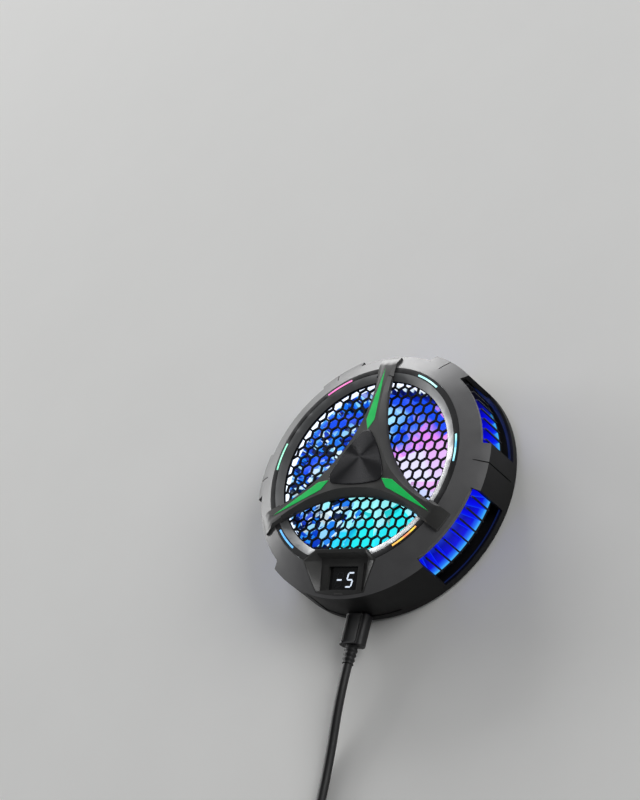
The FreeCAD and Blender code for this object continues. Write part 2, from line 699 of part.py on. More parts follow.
def windings():
    """A coil of wire round each pole's neck."""
    build = S.coil_thick
    half = POLE_NECK / 2 + 0.05
    inner = bearing_outer + HUB_RING + 0.3
    outer = math.sqrt((S.stator_radius - POLE_SHOE - 0.1) ** 2 - (half + build) ** 2)
    step = 360.0 / float(S.stator_poles)
    coil = block(inner, outer, -half - build, half + build, stator_low - build, stator_high + build)
    coil = coil.cut(block(0, 60, -half, half, stator_low - 0.05, stator_high + 0.05))
    return Part.makeCompound([spun(coil, i * step) for i in range(int(S.stator_poles))])


made("stator_windings", windings())

magnet_inner = S.stator_radius + S.air_gap
magnet_outer = magnet_inner + S.ring_magnet_wall
yoke_outer = magnet_outer + S.rotor_yoke_wall
hub_outer = yoke_outer + S.hub_wall
cap_low = S.hub_top - S.hub_cap_thick


def ring(inner, outer, low, high):
    return upright(outer, low, high).cut(upright(inner, low - 1, high + 1))


node("rotor_magnet", disc_body("rotor_magnet", magnet_outer, S.hub_foot + 0.6, cap_low - 1.5, magnet_inner))
node("rotor_yoke", disc_body("rotor_yoke", yoke_outer, S.hub_foot + 0.2, cap_low, magnet_outer))


def blade_section(radius, sweep, crown):
    """A thin crowned section, wrapped at one radius, that climbs against the turn."""
    thick = S.blade_thick
    low, high = S.blade_foot, (S.blade_foot + S.blade_tall)
    wide = radius * math.radians(sweep)
    climb = math.atan2(high - low, wide)
    across = Vector(0, -math.sin(climb), math.cos(climb))
    tail = Vector(radius, -wide / 2, low)
    lead = Vector(radius, wide / 2, high)
    middle = (tail + lead) * 0.5
    upper = middle + across * (crown + thick / 2)
    lower = middle + across * (crown - thick / 2)
    trim = across * (thick * 0.15)
    edges = [
        Part.Arc(tail + trim, upper, lead + trim),
        Part.LineSegment(lead + trim, lead - trim),
        Part.Arc(lead - trim, lower, tail - trim),
        Part.LineSegment(tail - trim, tail + trim),
    ]
    return Part.Wire([edge.toShape() for edge in edges])


def blades():
    root = blade_section(hub_outer - 0.9, S.blade_root_sweep, S.blade_crown)
    end = blade_section(S.blade_tip + 1.5, S.blade_tip_sweep, S.blade_crown)
    blade = Part.makeLoft([root, end], True, False)
    blade = blade.common(ring(hub_outer - 0.4, S.blade_tip, 0, CLEAR_ABOVE))
    step = 360.0 / float(S.blade_count)
    return [spun(blade, i * step + step / 4) for i in range(int(S.blade_count))]


# The hub is open below and has a boss for the shaft; its blades lean into the air.
shaft_top = cap_low + 0.4 * S.hub_cap_thick
hub = turned_body("hub", [
    (S.shaft_radius, bearing_top + 0.4), (2.2 * S.shaft_radius, bearing_top + 0.4),
    (2.2 * S.shaft_radius, cap_low), (yoke_outer, cap_low), (yoke_outer, S.hub_foot),
    (hub_outer, S.hub_foot), (hub_outer, S.hub_top), (0, S.hub_top), (0, shaft_top),
    (S.shaft_radius, shaft_top)])
node("fan_rotor", joined("fan_rotor", hub, *blades()))
node("fan_shaft", disc_body("fan_shaft", S.shaft_radius, base_top + 0.3, shaft_top))

# Light ring, its board and the grille


def plan_hull(extra):
    """The housing's outline on the plan, grown by a gap, from the low plane up."""
    half, edge = S.hood_half, S.hood_edge
    wide, at = S.shoulder_half, S.shoulder_at
    end, end_half = housing_end, S.housing_end_half
    end_at = math.sqrt(end ** 2 - end_half ** 2)
    corners = [(-half, -edge), (half, -edge), (wide, -at), (end_half, -end_at), (-end_half, -end_at), (-wide, -at)]
    points = [Vector(x, y, 0) for x, y in corners]
    edges = [Part.LineSegment(points[i], points[i + 1]).toShape() for i in range(3)]
    edges.append(Part.Arc(points[3], Vector(0, -end, 0), points[4]).toShape())
    edges += [Part.LineSegment(points[4], points[5]).toShape(), Part.LineSegment(points[5], points[0]).toShape()]
    wire = Part.Wire(edges)
    if extra:
        wire = wire.makeOffset2D(extra, 2)
    return Part.Face(wire)


def housing_column(extra, low, high):
    face = plan_hull(extra)
    face.translate(Vector(0, 0, low))
    return face.extrude(Vector(0, 0, high - low))


housing_gap = S.housing_gap
housing_space = housing_column(housing_gap, 18.0, 34.0)
ring_outer = (S.shell_inner - S.ring_gap)
led_board_top = S.shelf_top + S.led_board_thick

ring_board = disc_body("ring_board", ring_outer - 0.1, S.shelf_top, led_board_top, S.led_board_inner)
node("led_board", cut_by("led_board", ring_board, housing_space))

BARS = [8.0, 59.5, 120.5, 172.0, -132.0, -48.0]
LAMPS_PER_BAR = 3


def lamps():
    """Three lamps under each bar, and a ring of lamps that shines on the fan."""
    side, tall = S.led_side, S.led_tall
    lamp = block(-side / 2, side / 2, -side / 2, side / 2, led_board_top, led_board_top + tall)
    places = [((S.bar_radius - 0.6), bar + k * (S.bar_half * 0.6))
              for bar in BARS for k in range(-1, LAMPS_PER_BAR - 1)]
    count = int(S.inner_led_count)
    inner = S.led_board_inner + side / 2 + 0.1
    for i in range(count):
        angle = (i + 0.5) * 360.0 / count
        if away_from_display(angle) > S.display_fin_gap + 5:
            places.append((inner, angle))
    found = []
    for radius, angle in places:
        one = lamp.copy()
        one.translate(Vector(radius, 0, 0))
        found.append(spun(one, angle))
    return Part.makeCompound(found)


made("board_leds", lamps())

ring_under = S.ring_under
bar_radius, bar_wide = S.bar_radius, S.bar_wide
slope = ((S.ring_inner_top - S.ring_outer_top)) / (ring_outer - S.ring_inner)
bar_top = (S.ring_inner_top + S.bar_proud) - slope * (bar_radius - S.ring_inner)
bar_half = S.bar_half


def light_bar(angle):
    """A clear bar with a wider foot behind the ring."""
    stem = sector(bar_radius - bar_wide / 2, bar_radius + bar_wide / 2, angle, bar_half,
                  ring_under - 0.1, bar_top)
    foot_half = (S.bar_foot_wide / 2)
    foot = sector(bar_radius - foot_half, bar_radius + foot_half - 0.5, angle, bar_half + 0.8,
                  ring_under - S.bar_foot_thick, ring_under)
    return stem.fuse(foot).removeSplitter()


for number, angle in enumerate(BARS, 1):
    made(f"light_bar_{number}", light_bar(angle))

grille_low = S.grille_top - S.grille_thick


def light_slots():
    """Slots for the light bars."""
    spare = math.degrees(S.bar_gap / bar_radius)
    return [sector(bar_radius - bar_wide / 2 - S.bar_gap, bar_radius + bar_wide / 2 + S.bar_gap, angle,
                   bar_half + spare, ring_under - 1, CLEAR_ABOVE) for angle in BARS]


grille_seat = S.grille_radius + S.grille_gap
ring_body = turned_body("ring_body", [
    (S.funnel_foot, S.grille_top), (S.funnel_foot, S.funnel_foot_top), (S.ring_inner, S.ring_inner_top),
    (ring_outer, S.ring_outer_top), (ring_outer, led_board_top), (ring_outer - S.ring_skirt, led_board_top),
    (ring_outer - S.ring_skirt, ring_under), (grille_seat, ring_under), (grille_seat, S.grille_top)])
node("light_ring", cut_by("light_ring", ring_body, Part.makeCompound(light_slots() + [housing_space])))


def mesh_holes():
    """Rows of upright hexagons, those at the edge cut by a circle."""
    pitch = S.mesh_pitch
    limit = S.mesh_radius
    reach = (pitch - S.mesh_wall) / math.sqrt(3)
    row_step = pitch * math.sqrt(3) / 2
    rows = int(limit / row_step) + 1
    columns = int(limit / pitch) + 1
    cells = []
    for row in range(-rows, rows + 1):
        shift = pitch / 2 if row % 2 else 0.0
        for column in range(-columns, columns + 1):
            middle = Vector(column * pitch + shift, row * row_step, 0)
            if middle.Length < limit + 0.2 * pitch:
                corners = [around(reach, 30 + 60 * k, grille_low - 1) + middle for k in range(6)]
                cells.append(face_of(corners).extrude(Vector(0, 0, S.grille_thick + 2)))
    return Part.makeCompound(cells).common(upright(limit, CLEAR_BELOW, CLEAR_ABOVE))


grille_disc = disc_body("grille_disc", S.grille_radius, grille_low, S.grille_top)
grille_mesh = cut_by("grille_mesh", grille_disc, mesh_holes())
node("honeycomb_grille", cut_by("honeycomb_grille", grille_mesh, housing_space))

# Front shell

front_slope = (S.shell_inner_top - S.window_edge_top) / (window_edge - S.shell_inner)


def front_height(radius):
    """Height of the shell's outer face at a radius."""
    if radius <= window_edge:
        return S.shell_inner_top - front_slope * (radius - S.shell_inner)
    share = (radius - window_edge) / (corner_radius - window_edge)
    return S.window_edge_top - share * (S.window_edge_top - S.corner_top)


def shell_profile():
    """The shell's section: front, side wall and the shelf that carries the ring board."""
    shelf_low = S.shelf_top - S.shelf_thick
    wall_inner = corner_radius - S.wall_thick
    rise = S.shell_inner + S.front_thick
    return [
        (S.shell_inner, S.shell_inner_top), (window_edge, S.window_edge_top),
        (corner_radius, S.corner_top), (wall_foot, S.rim_top),
        (wall_foot - S.wall_thick, S.rim_top), (wall_inner, S.corner_top - 0.6),
        (wall_inner - 1.1, shelf_low), (window_edge - 0.6, shelf_low + 0.2),
        (rise, front_height(rise) - S.front_thick), (rise, shelf_low), (S.shelf_inner, shelf_low),
        (S.shelf_inner, S.shelf_top), (S.shell_inner, S.shelf_top)]


def wall_space():
    """Room for the rear shell's wall behind the display."""
    return sector(window_edge - 1.0, 80, DISPLAY_AT, S.window_half, 0, S.wall_top + 0.1)


def shell_openings():
    """Side windows, the rear shell's wall, seams, screw holes and peg holes."""
    tools = [sector(window_edge, 80, angle, S.window_half, 0, CLEAR_ABOVE) for angle in WINDOWS]
    tools.append(wall_space())
    tools += [spun(seam_tool(S.seam_deep, S.seam_wide), angle + S.seam_turn) for angle in SEAM_PILLARS]
    for p in boss_points:
        tools.append(upright(S.screw_radius + S.screw_gap, 0, floor_top + S.screw_long, p.x, p.y))
    for angle in ARMS:
        p = around(S.peg_circle, angle)
        tools.append(upright(S.peg_radius + S.peg_gap, 0, CLEAR_ABOVE, p.x, p.y))
    return tools + [housing_space]


def seam_tool(deep, wide):
    """A thin bent blade that follows the front and the side of a pillar."""
    start = S.seam_inner
    foot = wall_foot
    line = [(start, front_height(start)), (window_edge, S.window_edge_top), (corner_radius, S.corner_top), (foot, 0)]
    outer = [(r + 3, z + 3) for r, z in line]
    inner = [(foot - deep, 0), (corner_radius - deep, S.corner_top - deep),
             (window_edge - deep / 3, S.window_edge_top - deep), (start, front_height(start) - deep / 2)]
    points = outer + inner
    side = face_of([Vector(r, -wide / 2, z) for r, z in points])
    return side.extrude(Vector(0, wide, 0))


boss_top = S.shelf_top - S.shelf_thick
shell_bosses = [upright(S.boss_radius, floor_top, boss_top, p.x, p.y) for p in boss_points]
shell_body = joined("shell_with_bosses", turned_body("shell_body", shell_profile()), *shell_bosses)
node("front_shell", cut_by("front_shell", shell_body, Part.makeCompound(shell_openings())))

# Display housing


def pocket_height(at):
    """Height of the pocket's sloped floor at a distance from the axis."""
    return S.pocket_top - (at - S.pocket_start) * (S.pocket_drop / S.pocket_long)


def lifted(low, target, height):
    """The point where the line from low through target reaches a height."""
    share = (height - low.z) / (target.z - low.z)
    return low + (target - low) * share


def both_sides(points):
    """The points and their mirror images, in order round the outline."""
    return points + [Vector(-p.x, p.y, p.z) for p in reversed(points)]


def pocket_tool():
    """The pocket: a sloped floor, a steep back under the hood's lip, the hood's band and leaning sides."""
    start, land = S.pocket_start, S.pocket_land
    end = start + S.pocket_long
    ahead = 0.8
    lower = [
        Vector(S.pocket_half, -start, pocket_height(start)),
        Vector(S.pocket_half - 0.06, -start - ahead, pocket_height(start + ahead)),
        Vector(S.pocket_end_half, -end, pocket_height(end)),
    ]
    rim_end = housing_end - land
    side_end = S.housing_end_half - land
    middle = [
        Vector(S.hood_half - land, -S.hood_edge - S.hood_slope, S.hood_lip),
        Vector(S.shoulder_half - 2 * land, -S.shoulder_at - land, S.hood_top - 0.5),
        Vector(side_end, -math.sqrt(rim_end ** 2 - side_end ** 2), front_height(rim_end)),
    ]
    hood = Vector(S.hood_half - 0.3, -S.hood_edge - 0.4, S.hood_top)
    high = 33.0
    upper = [lifted(middle[0], hood, high), lifted(lower[1], middle[1], high),
             lifted(lower[2], middle[2], high)]
    wires = []
    for half in (lower, middle, upper):
        points = both_sides(half)
        wires.append(Part.makePolygon(points + [points[0]]))
    return Part.makeLoft(wires, True, True)


POCKET_TILT = math.degrees(math.atan2(S.pocket_drop, S.pocket_long))


def on_pocket(shape, at, sunk):
    """Lays a shape drawn flat at the origin on the pocket's floor, sunk below it."""
    copy = shape.copy()
    copy.translate(Vector(0, 0, -sunk))
    copy.rotate(Vector(0, 0, 0), Vector(1, 0, 0), POCKET_TILT)
    copy.translate(Vector(0, -at, pocket_height(at)))
    return copy


display_mid = (S.pocket_start + S.display_from + S.display_tall / 2)
floor_thick = S.pocket_floor_thick


def display_housing():
    envelope = turned([
        (0, 18), (0, S.hood_top), (S.ring_inner, S.hood_top),
        (ring_outer, S.ring_outer_top), (window_edge, S.window_edge_top),
        (corner_radius, S.corner_top), (corner_radius, 18)])
    solid = housing_column(0, 18.5, 34.0).common(envelope)
    below = on_pocket(block(-40, 40, -40, 40, -30, 0), S.pocket_start, floor_thick)
    wide, tall = (S.display_wide / 2), (S.display_tall / 2)
    window = on_pocket(block(-wide, wide, -tall, tall, -10, 10), display_mid, 0)
    frame_tall = tall + S.bezel_margin
    bezel = on_pocket(block(-S.bezel_half, S.bezel_half, -frame_tall, frame_tall, -0.2, S.bezel_proud), display_mid, 0)
    solid = solid.cut(pocket_tool()).cut(below).fuse(bezel).cut(window).cut(wall_space())
    tab_at = S.pocket_start + S.pocket_long + 0.2
    tab = block(-S.tab_half, S.tab_half, -tab_at - 1.0, -tab_at, 21.0, front_height(tab_at + 0.7) + S.tab_tall)
    solid = solid.fuse(tab)
    return max(solid.Solids, key=lambda part: part.Volume)


made("display_housing", display_housing())

border = S.module_border
module_wide = (S.display_wide / 2) + border
module_tall = (S.display_tall / 2) + border
module_thick = S.module_thick
module_top = floor_thick
made("display_module", on_pocket(
    block(-module_wide, module_wide, -module_tall, module_tall, -module_thick, 0), display_mid, module_top))

board_sunk = module_top + module_thick
made("display_board", on_pocket(
    block(-module_wide - 1, module_wide + 1, -module_tall, module_tall, -S.display_board_thick, 0),
    display_mid, board_sunk))

# Digits: each stroke is a bar with pointed ends, named by its place in the figure eight
STROKES = {
    "top": (0, 1, 0), "middle": (0, 0, 0), "bottom": (0, -1, 0),
    "upper_left": (-1, 0.5, 90), "upper_right": (1, 0.5, 90),
    "lower_left": (-1, -0.5, 90), "lower_right": (1, -0.5, 90)}
LIT = {-1: ["middle"], 1: ["top", "upper_left", "middle", "lower_right", "bottom"]}


def stroke(place, side):
    """One stroke of a digit, flat at the origin."""
    column, row, turn = STROKES[place]
    wide, tall, line = S.digit_wide, S.digit_tall, S.digit_stroke
    half_wide, half_tall = (wide - line) / 2, (tall - line) / 2
    long = (half_tall if turn else 2 * half_wide) / 2 - 0.12
    point = line / 2
    corners = [(-long, 0), (-long + point, point), (long - point, point), (long, 0),
               (long - point, -point), (-long + point, -point)]
    angle = math.radians(turn)
    lean = math.tan(math.radians(S.digit_slant))
    placed = []
    for x, y in corners:
        px = x * math.cos(angle) - y * math.sin(angle) + column * half_wide
        py = x * math.sin(angle) + y * math.cos(angle) + row * half_tall
        placed.append(Vector(px + lean * py + side * (S.digit_pitch / 2), py, 0))
    return face_of(placed).extrude(Vector(0, 0, S.digit_proud))


def digits(lit):
    found = [stroke(place, side) for side in (-1, 1) for place in STROKES if (place in LIT[side]) == lit]
    return on_pocket(Part.makeCompound(found), display_mid + 0.4, module_top)


made("display_segments_lit", digits(True))
made("display_segments_unlit", digits(False))

# Spider, inlays and cap

gap_under = S.spider_gap
spider_top = S.spider_top


def top_line(shift):
    """The spider's upper outline from the axis to the end of an arm, as radius and height."""
    return [(0, spider_top + shift), (S.spider_flat, spider_top + shift),
            (S.arm_end, S.arm_end_top + shift), (hook_radius, S.hook_top + shift)]


def under_line():
    """What the spider rests on, from an arm's end to the axis."""
    hook = hook_radius
    return [(hook, front_height(hook) + gap_under), (ring_outer, S.ring_outer_top + gap_under),
            (S.ring_inner, S.ring_inner_top + gap_under),
            (S.funnel_foot - gap_under, S.funnel_foot_top + gap_under),
            (S.funnel_foot - gap_under, S.grille_top), (0, S.grille_top)]


def star_wire(half, end, waist, height):
    """Three arms with concave arcs between them."""
    edges = []
    for angle in (90.0, 210.0, 330.0):
        side = Vector(-math.sin(math.radians(angle)), math.cos(math.radians(angle)), 0)
        tip = around(end, angle, height)
        next_tip = around(end, angle + 120, height)
        next_side = Vector(-math.sin(math.radians(angle + 120)), math.cos(math.radians(angle + 120)), 0)
        edges.append(Part.LineSegment(tip - side * half, tip + side * half).toShape())
        edges.append(Part.Arc(tip + side * half, around(waist, angle + 60, height),
                              next_tip - next_side * half).toShape())
    return Part.Wire(edges)


def kite(grow):
    """An inlay's outline along +X, grown by a gap."""
    start, wide_at, half, end = S.inlay_start, S.inlay_wide_at, S.inlay_half, S.inlay_end
    return [(start - 1.5 * grow, 0), (wide_at, half + grow), (end + 6 * grow, 0), (wide_at, -half - grow)]


def cap_wire(grow, height):
    """A triangle with round corners and slightly bulged sides."""
    corner = S.cap_corner + grow
    centre = S.cap_reach + grow - corner
    edges = []
    for i, angle in enumerate((90.0, 210.0, 330.0)):
        first, last = angle - 52, angle + 52
        middle = around(centre, angle, height)
        start = middle + around(corner, first)
        end = middle + around(corner, last)
        edges.append(Part.Arc(start, middle + around(corner, angle), end).toShape())
        next_start = around(centre, angle + 120, height) + around(corner, angle + 120 - 52)
        halfway = (end + next_start) * 0.5 + around(S.cap_bulge, angle + 60)
        edges.append(Part.Arc(end, halfway, next_start).toShape())
    return Part.Wire(edges)


def cap_block(grow, low, high):
    return Part.Face(cap_wire(grow, low)).extrude(Vector(0, 0, high - low))


def spider():
    half, end = S.arm_half, S.arm_end
    low, shoulder, high = S.grille_top - 4, S.arm_shoulder, spider_top + 1
    foot_lean = (S.waist_foot - S.waist_shoulder) / (shoulder - S.grille_top)
    waist_lean = (S.waist_shoulder - S.waist_top) / (spider_top - shoulder)
    arm_lean = (half - S.arm_top_half) / (S.arm_end_top - shoulder)
    high_half = half - arm_lean * (high - shoulder)
    wires = [star_wire(half, end, S.waist_foot + foot_lean * 4, low),
             star_wire(half, end, S.waist_shoulder, shoulder),
             star_wire(high_half, end, S.waist_shoulder - waist_lean * (high - shoulder), high)]
    star = Part.makeLoft(wires, True, True)
    across = [(half, shoulder), (high_half, high), (-high_half, high), (-half, shoulder), (-half, 10), (half, 10)]
    hook = face_of([Vector(end - 5, y, z) for y, z in across]).extrude(Vector(hook_radius + 10 - end, 0, 0))
    hooks = [spun(hook, angle) for angle in ARMS]
    envelope = turned(top_line(0) + under_line())
    solid = star.multiFuse(hooks).common(envelope)
    pegs = [upright(S.peg_radius, S.peg_foot, front_height(S.peg_circle) + 0.6, p.x, p.y)
            for p in (around(S.peg_circle, angle) for angle in ARMS)]
    seats = [spun(prism(kite(S.inlay_gap), 0, CLEAR_ABOVE), angle) for angle in ARMS]
    above = turned(top_line(-S.inlay_deep) + [(hook_radius, 60), (0, 60)])
    seat = Part.makeCompound(seats).common(above)
    cap_seat = cap_block(S.cap_gap, spider_top - S.cap_deep, 60)
    return solid.multiFuse(pegs).cut(seat).cut(cap_seat)


made("spider", spider())


def inlay(angle):
    """An inlay lies in its seat and stands a little above the arm."""
    layer = turned(top_line(S.inlay_proud) + list(reversed(top_line(-S.inlay_deep))))
    return spun(prism(kite(0), 0, CLEAR_ABOVE), angle).common(layer)


for number, angle in enumerate(ARMS, 1):
    made(f"arm_inlay_{number}", inlay(angle))

made("centre_cap", cap_block(0, spider_top - S.cap_deep, spider_top + S.cap_proud))

# Electronics

node("main_board", box_piece("main_board", -S.board_half, S.board_half, -board_to, -board_from,
                             board_low, board_top))


def socket():
    outer = rounded_bar(S.socket_wide, S.socket_tall, S.socket_long, socket_mid, socket_back)
    bore = rounded_bar(S.socket_wide - 2 * S.socket_wall, S.socket_tall - 2 * S.socket_wall,
                       S.socket_long, socket_mid, socket_back + 1.0)
    half, thick = S.tongue_wide / 2, S.tongue_thick / 2
    tongue = block(-half, half, -socket_back - S.tongue_long - 1.0, -socket_back - 0.5,
                   socket_mid - thick, socket_mid + thick)
    return outer.cut(bore).fuse(tongue)


made("usb_socket", socket())


def chips():
    """The driver, a coil and small parts on the main board."""
    places = [(0.8, 3.7, 3.2, 3.2, 1.0), (4.6, 3.7, 1.4, 1.6, 0.8), (16.1, 0.6, 1.6, 1.4, 0.7),
              (4.4, 0.4, 1.2, 0.7, 0.5), (1.4, 0.4, 1.6, 0.9, 0.6)]
    return Part.makeCompound([
        block(x - S.board_half, x - S.board_half + a, y - board_to, y - board_to + b, board_top, board_top + c)
        for x, y, a, b, c in places])


made("board_parts", chips())


def case_screws():
    found = []
    for p in boss_points:
        head = upright(S.screw_head_radius, floor_low, floor_low + S.screw_head_thick, p.x, p.y)
        shank = upright(S.screw_radius, floor_low + 0.5, floor_top + (S.screw_long - 0.5), p.x, p.y)
        found.append(head.fuse(shank))
    return Part.makeCompound(found)


made("case_screws", case_screws())


def tube(points, radius):
    """A round wire along straight runs joined by tangent arcs, each as large as its runs allow."""
    wire, radii = rounded_path(points)
    start = wire.Edges[0]
    along = start.tangentAt(start.FirstParameter)
    circle = Part.Wire([Part.Circle(points[0], along, radius).toShape()])
    solid = wire.makePipeShell([circle], True, False)
    drift = abs(solid.Volume / (math.pi * radius ** 2 * wire.Length) - 1)
    print(f"tube length {wire.Length:.1f}, radii {[round(r, 1) for r in radii]}, volume off by {drift:.4f}")
    return solid


def rounded_path(points):
    edges = []
    radii = []
    last = points[0]
    for before, corner, after in zip(points, points[1:], points[2:]):
        first, second = (before - corner), (after - corner)
        turn = math.pi - first.getAngle(second)
        reach = 0.45 * min(first.Length, second.Length)
        radii.append(reach / math.tan(turn / 2))
        start = corner + first.normalize() * reach
        end = corner + second.normalize() * reach
        sag = radii[-1] * (1 / math.cos(turn / 2) - 1)
        inward = (first + second).normalize()
        edges.append(Part.LineSegment(last, start).toShape())
        edges.append(Part.Arc(start, corner + inward * sag, end).toShape())
        last = end
    edges.append(Part.LineSegment(last, points[-1]).toShape())
    return Part.Wire(edges), radii


def element_leads():
    """Two wires from the thermoelectric element to the main board."""
    down = board_top + S.wire_radius
    found = []
    for x in LEAD_AT:
        path = [Vector(x, -half_side, wire_height), Vector(x + 0.3, -33.0, wire_height),
                Vector(x, 6.6 - board_to, wire_height), Vector(x, 3.2 - board_to, down),
                Vector(x, 1.4 - board_to, down)]
        found.append(tube(path, S.wire_radius))
    return Part.makeCompound(found)


made("tec_leads", element_leads())


def fan_lead():
    """A flat lead from the fan's base over the heat sink to the main board."""
    x0, x1, thick = 5.2, 6.8, 0.7
    low = sink_top + 0.1
    start, drop = S.fan_base_radius - 1.2, board_to - 4.0
    line = [(start, low), (drop, low), (drop, board_top), (drop + thick, board_top),
            (drop + thick, low + thick), (start, low + thick)]
    face = face_of([Vector(x0, -y, z) for y, z in line])
    lead = face.extrude(Vector(x1 - x0, 0, 0))
    return lead.cut(upright(S.fan_base_radius, CLEAR_BELOW, CLEAR_ABOVE))


made("fan_lead", fan_lead())


def ribbon():
    """A flat lead from the display's board down to the main board."""
    below = board_sunk + S.display_board_thick
    at = display_mid + 2.0
    height = pocket_height(at) - below / math.cos(math.radians(POCKET_TILT))
    end = board_to - 2.6
    line = [(at, height), (at + 0.5, height - 0.11), (at + 0.5, board_top + 3.0), (end, board_top + 2.0),
            (end, board_top), (end - 0.5, board_top), (end - 0.5, board_top + 2.2), (at, board_top + 3.2)]
    face = face_of([Vector(-10.4, -y, z) for y, z in line])
    return face.extrude(Vector(4.6, 0, 0))


made("display_ribbon", ribbon())

# Lead

plug_front = wall_back_radius + S.plug_body_gap
plug_tip = socket_mouth - S.plug_reach


def plug_shell():
    outer = rounded_bar(S.plug_wide, S.plug_tall, plug_front - plug_tip, socket_mid, plug_tip)
    bore = rounded_bar(S.plug_wide - 2 * S.plug_wall, S.plug_tall - 2 * S.plug_wall,
                       S.plug_reach - 0.4, socket_mid, plug_tip - 1.0)
    return outer.cut(bore)


made("usb_plug_shell", plug_shell())
made("usb_plug_body", rounded_bar(S.plug_body_wide, S.plug_body_tall, S.plug_body_long, socket_mid,
                                  plug_front))


def oval_wire(wide, tall, height, y):
    radius = min(wide, tall) / 2 - 0.01
    flat_x, flat_z = wide / 2 - radius, tall / 2 - radius
    edges = []
    for i, (sx, sz) in enumerate(((1, 1), (-1, 1), (-1, -1), (1, -1))):
        centre = Vector(sx * flat_x, y, height + sz * flat_z)
        turns = [math.radians(90 * i + step) for step in (0, 45, 90)]
        arc = [centre + Vector(radius * math.cos(t), 0, radius * math.sin(t)) for t in turns]
        edges.append(Part.Arc(*arc).toShape())
        nsx, nsz = ((-1, 1), (-1, -1), (1, -1), (1, 1))[i]
        after = Vector(nsx * flat_x, y, height + nsz * flat_z)
        turn = math.radians(90 * i + 90)
        edges.append(Part.LineSegment(arc[2], after + Vector(radius * math.cos(turn), 0,
                                                             radius * math.sin(turn))).toShape())
    return Part.Wire(edges)


def tapered(wide, tall, end, long, height, front, x=0.0):
    """A strain relief that narrows to the cable."""
    near = oval_wire(wide, tall, height, -front)
    far = oval_wire(end, end, height, -front - long)
    solid = Part.makeLoft([near, far], True, True)
    solid.translate(Vector(x, 0, 0))
    return solid


relief_front = plug_front + S.plug_body_long
relief_end = relief_front + S.relief_long
made("strain_relief", tapered(S.relief_wide, S.relief_end, S.relief_end,
                              S.relief_long, socket_mid, relief_front))

# Route of the cable: it leaves the plug straight, comes down to the surface that the
# cooler lies on and runs on to the coil.
cable_radius = S.cable_radius
COIL_CENTRE_Y = -relief_end - 95.0
ENTRY_X = 1.1
coil_layers = int(S.coil_layers)
coil_pitch, coil_turns = S.coil_pitch, S.coil_turns
coil_outer = S.coil_mid + coil_pitch * coil_turns / 2
coil_centre = Vector(ENTRY_X + coil_outer, COIL_CENTRE_Y, cable_radius)
STRAIGHT = 2 * cable_radius

route = [
    Vector(0, -relief_end, socket_mid),
    Vector(0, -relief_end - 15.0, socket_mid),
    Vector(0, -relief_end - 40.0, cable_radius),
    Vector(ENTRY_X, -relief_end - 68.0, cable_radius),
    Vector(ENTRY_X, COIL_CENTRE_Y + STRAIGHT, cable_radius),
]
made("cable", tube(route, cable_radius))

CLIMB = 0.5


def coil_point(turns):
    """The coil's middle line after so many turns: in, up a layer, out, up, in, up and out."""
    span = coil_turns + CLIMB
    layer = min(int(turns / span), coil_layers - 1)
    into = turns - layer * span
    inward = layer % 2 == 0
    start = coil_outer if inward else coil_outer - coil_pitch * coil_turns
    way = -1 if inward else 1
    radius = start + way * coil_pitch * min(into, coil_turns)
    height = layer * coil_pitch
    if into > coil_turns:
        climb = into - coil_turns
        radius += way * coil_pitch * min(climb, CLIMB - climb)
        height += coil_pitch * climb / CLIMB
    return coil_centre + around(radius, 180 + 360 * turns, height)


def coil_way(turns):
    """The direction of the coil's middle line."""
    step = 0.0005
    return (coil_point(turns + step) - coil_point(turns - step)).normalize()


coil_total = coil_layers * coil_turns + (coil_layers - 1) * CLIMB
QUARTERS = int(round(coil_total * 4))


def biarc(start, way, end, end_way):
    """Two arcs that join two points along given directions."""
    chord = end - start
    ways = way + end_way
    spare = 2 * (1 - way.dot(end_way))
    along = chord.dot(ways)
    reach = (-along + math.sqrt(along ** 2 + spare * chord.dot(chord))) / spare
    first, second = start + way * reach, end - end_way * reach
    middle = (first + second) * 0.5
    return [arc_edge(start, first, middle), arc_edge(middle, second, end)]


def arc_edge(start, corner, end):
    half = (end - start).Length / 2
    weight = half / (corner - start).Length
    middle = (start + corner * (2 * weight) + end) * (1 / (2 + 2 * weight))
    return Part.Arc(start, middle, end).toShape()


def coil_path():
    marks = [coil_total * i / QUARTERS for i in range(QUARTERS + 1)]
    points = [coil_point(mark) for mark in marks]
    ways = [coil_way(mark) for mark in marks]
    ways[0] = Vector(0, -1, 0)
    ways[-1] = Vector(0, -1, 0)
    edges = [Part.LineSegment(points[0] - ways[0] * STRAIGHT, points[0]).toShape()]
    for i in range(QUARTERS):
        edges += biarc(points[i], ways[i], points[i + 1], ways[i + 1])
    edges.append(Part.LineSegment(points[-1], points[-1] + ways[-1] * STRAIGHT).toShape())
    return Part.Wire(edges)


def least_gap(wire, diameter, step=1.0):
    """The least gap between turns, measured on points along the middle line."""
    count = int(wire.Length / step)
    points = wire.discretize(count)
    apart = int(3 * diameter / step)
    best = 1e9
    for i in range(0, count, 2):
        for j in range(i + apart, count):
            best = min(best, points[i].distanceToPoint(points[j]))
    return best - diameter


def coil():
    wire = coil_path()
    start = wire.Edges[0]
    along = start.tangentAt(start.FirstParameter)
    first = start.valueAt(start.FirstParameter)
    circle = Part.Wire([Part.Circle(first, along, cable_radius).toShape()])
    solid = wire.makePipeShell([circle], True, False)
    drift = abs(solid.Volume / (math.pi * cable_radius ** 2 * wire.Length) - 1)
    print(f"coil length {wire.Length:.1f}, least gap {least_gap(wire, 2 * cable_radius):.2f}, "
          f"volume off by {drift:.4f}")
    return solid


made("cable_coil", coil())

coil_top = coil_centre.z + (coil_layers - 1) * coil_pitch


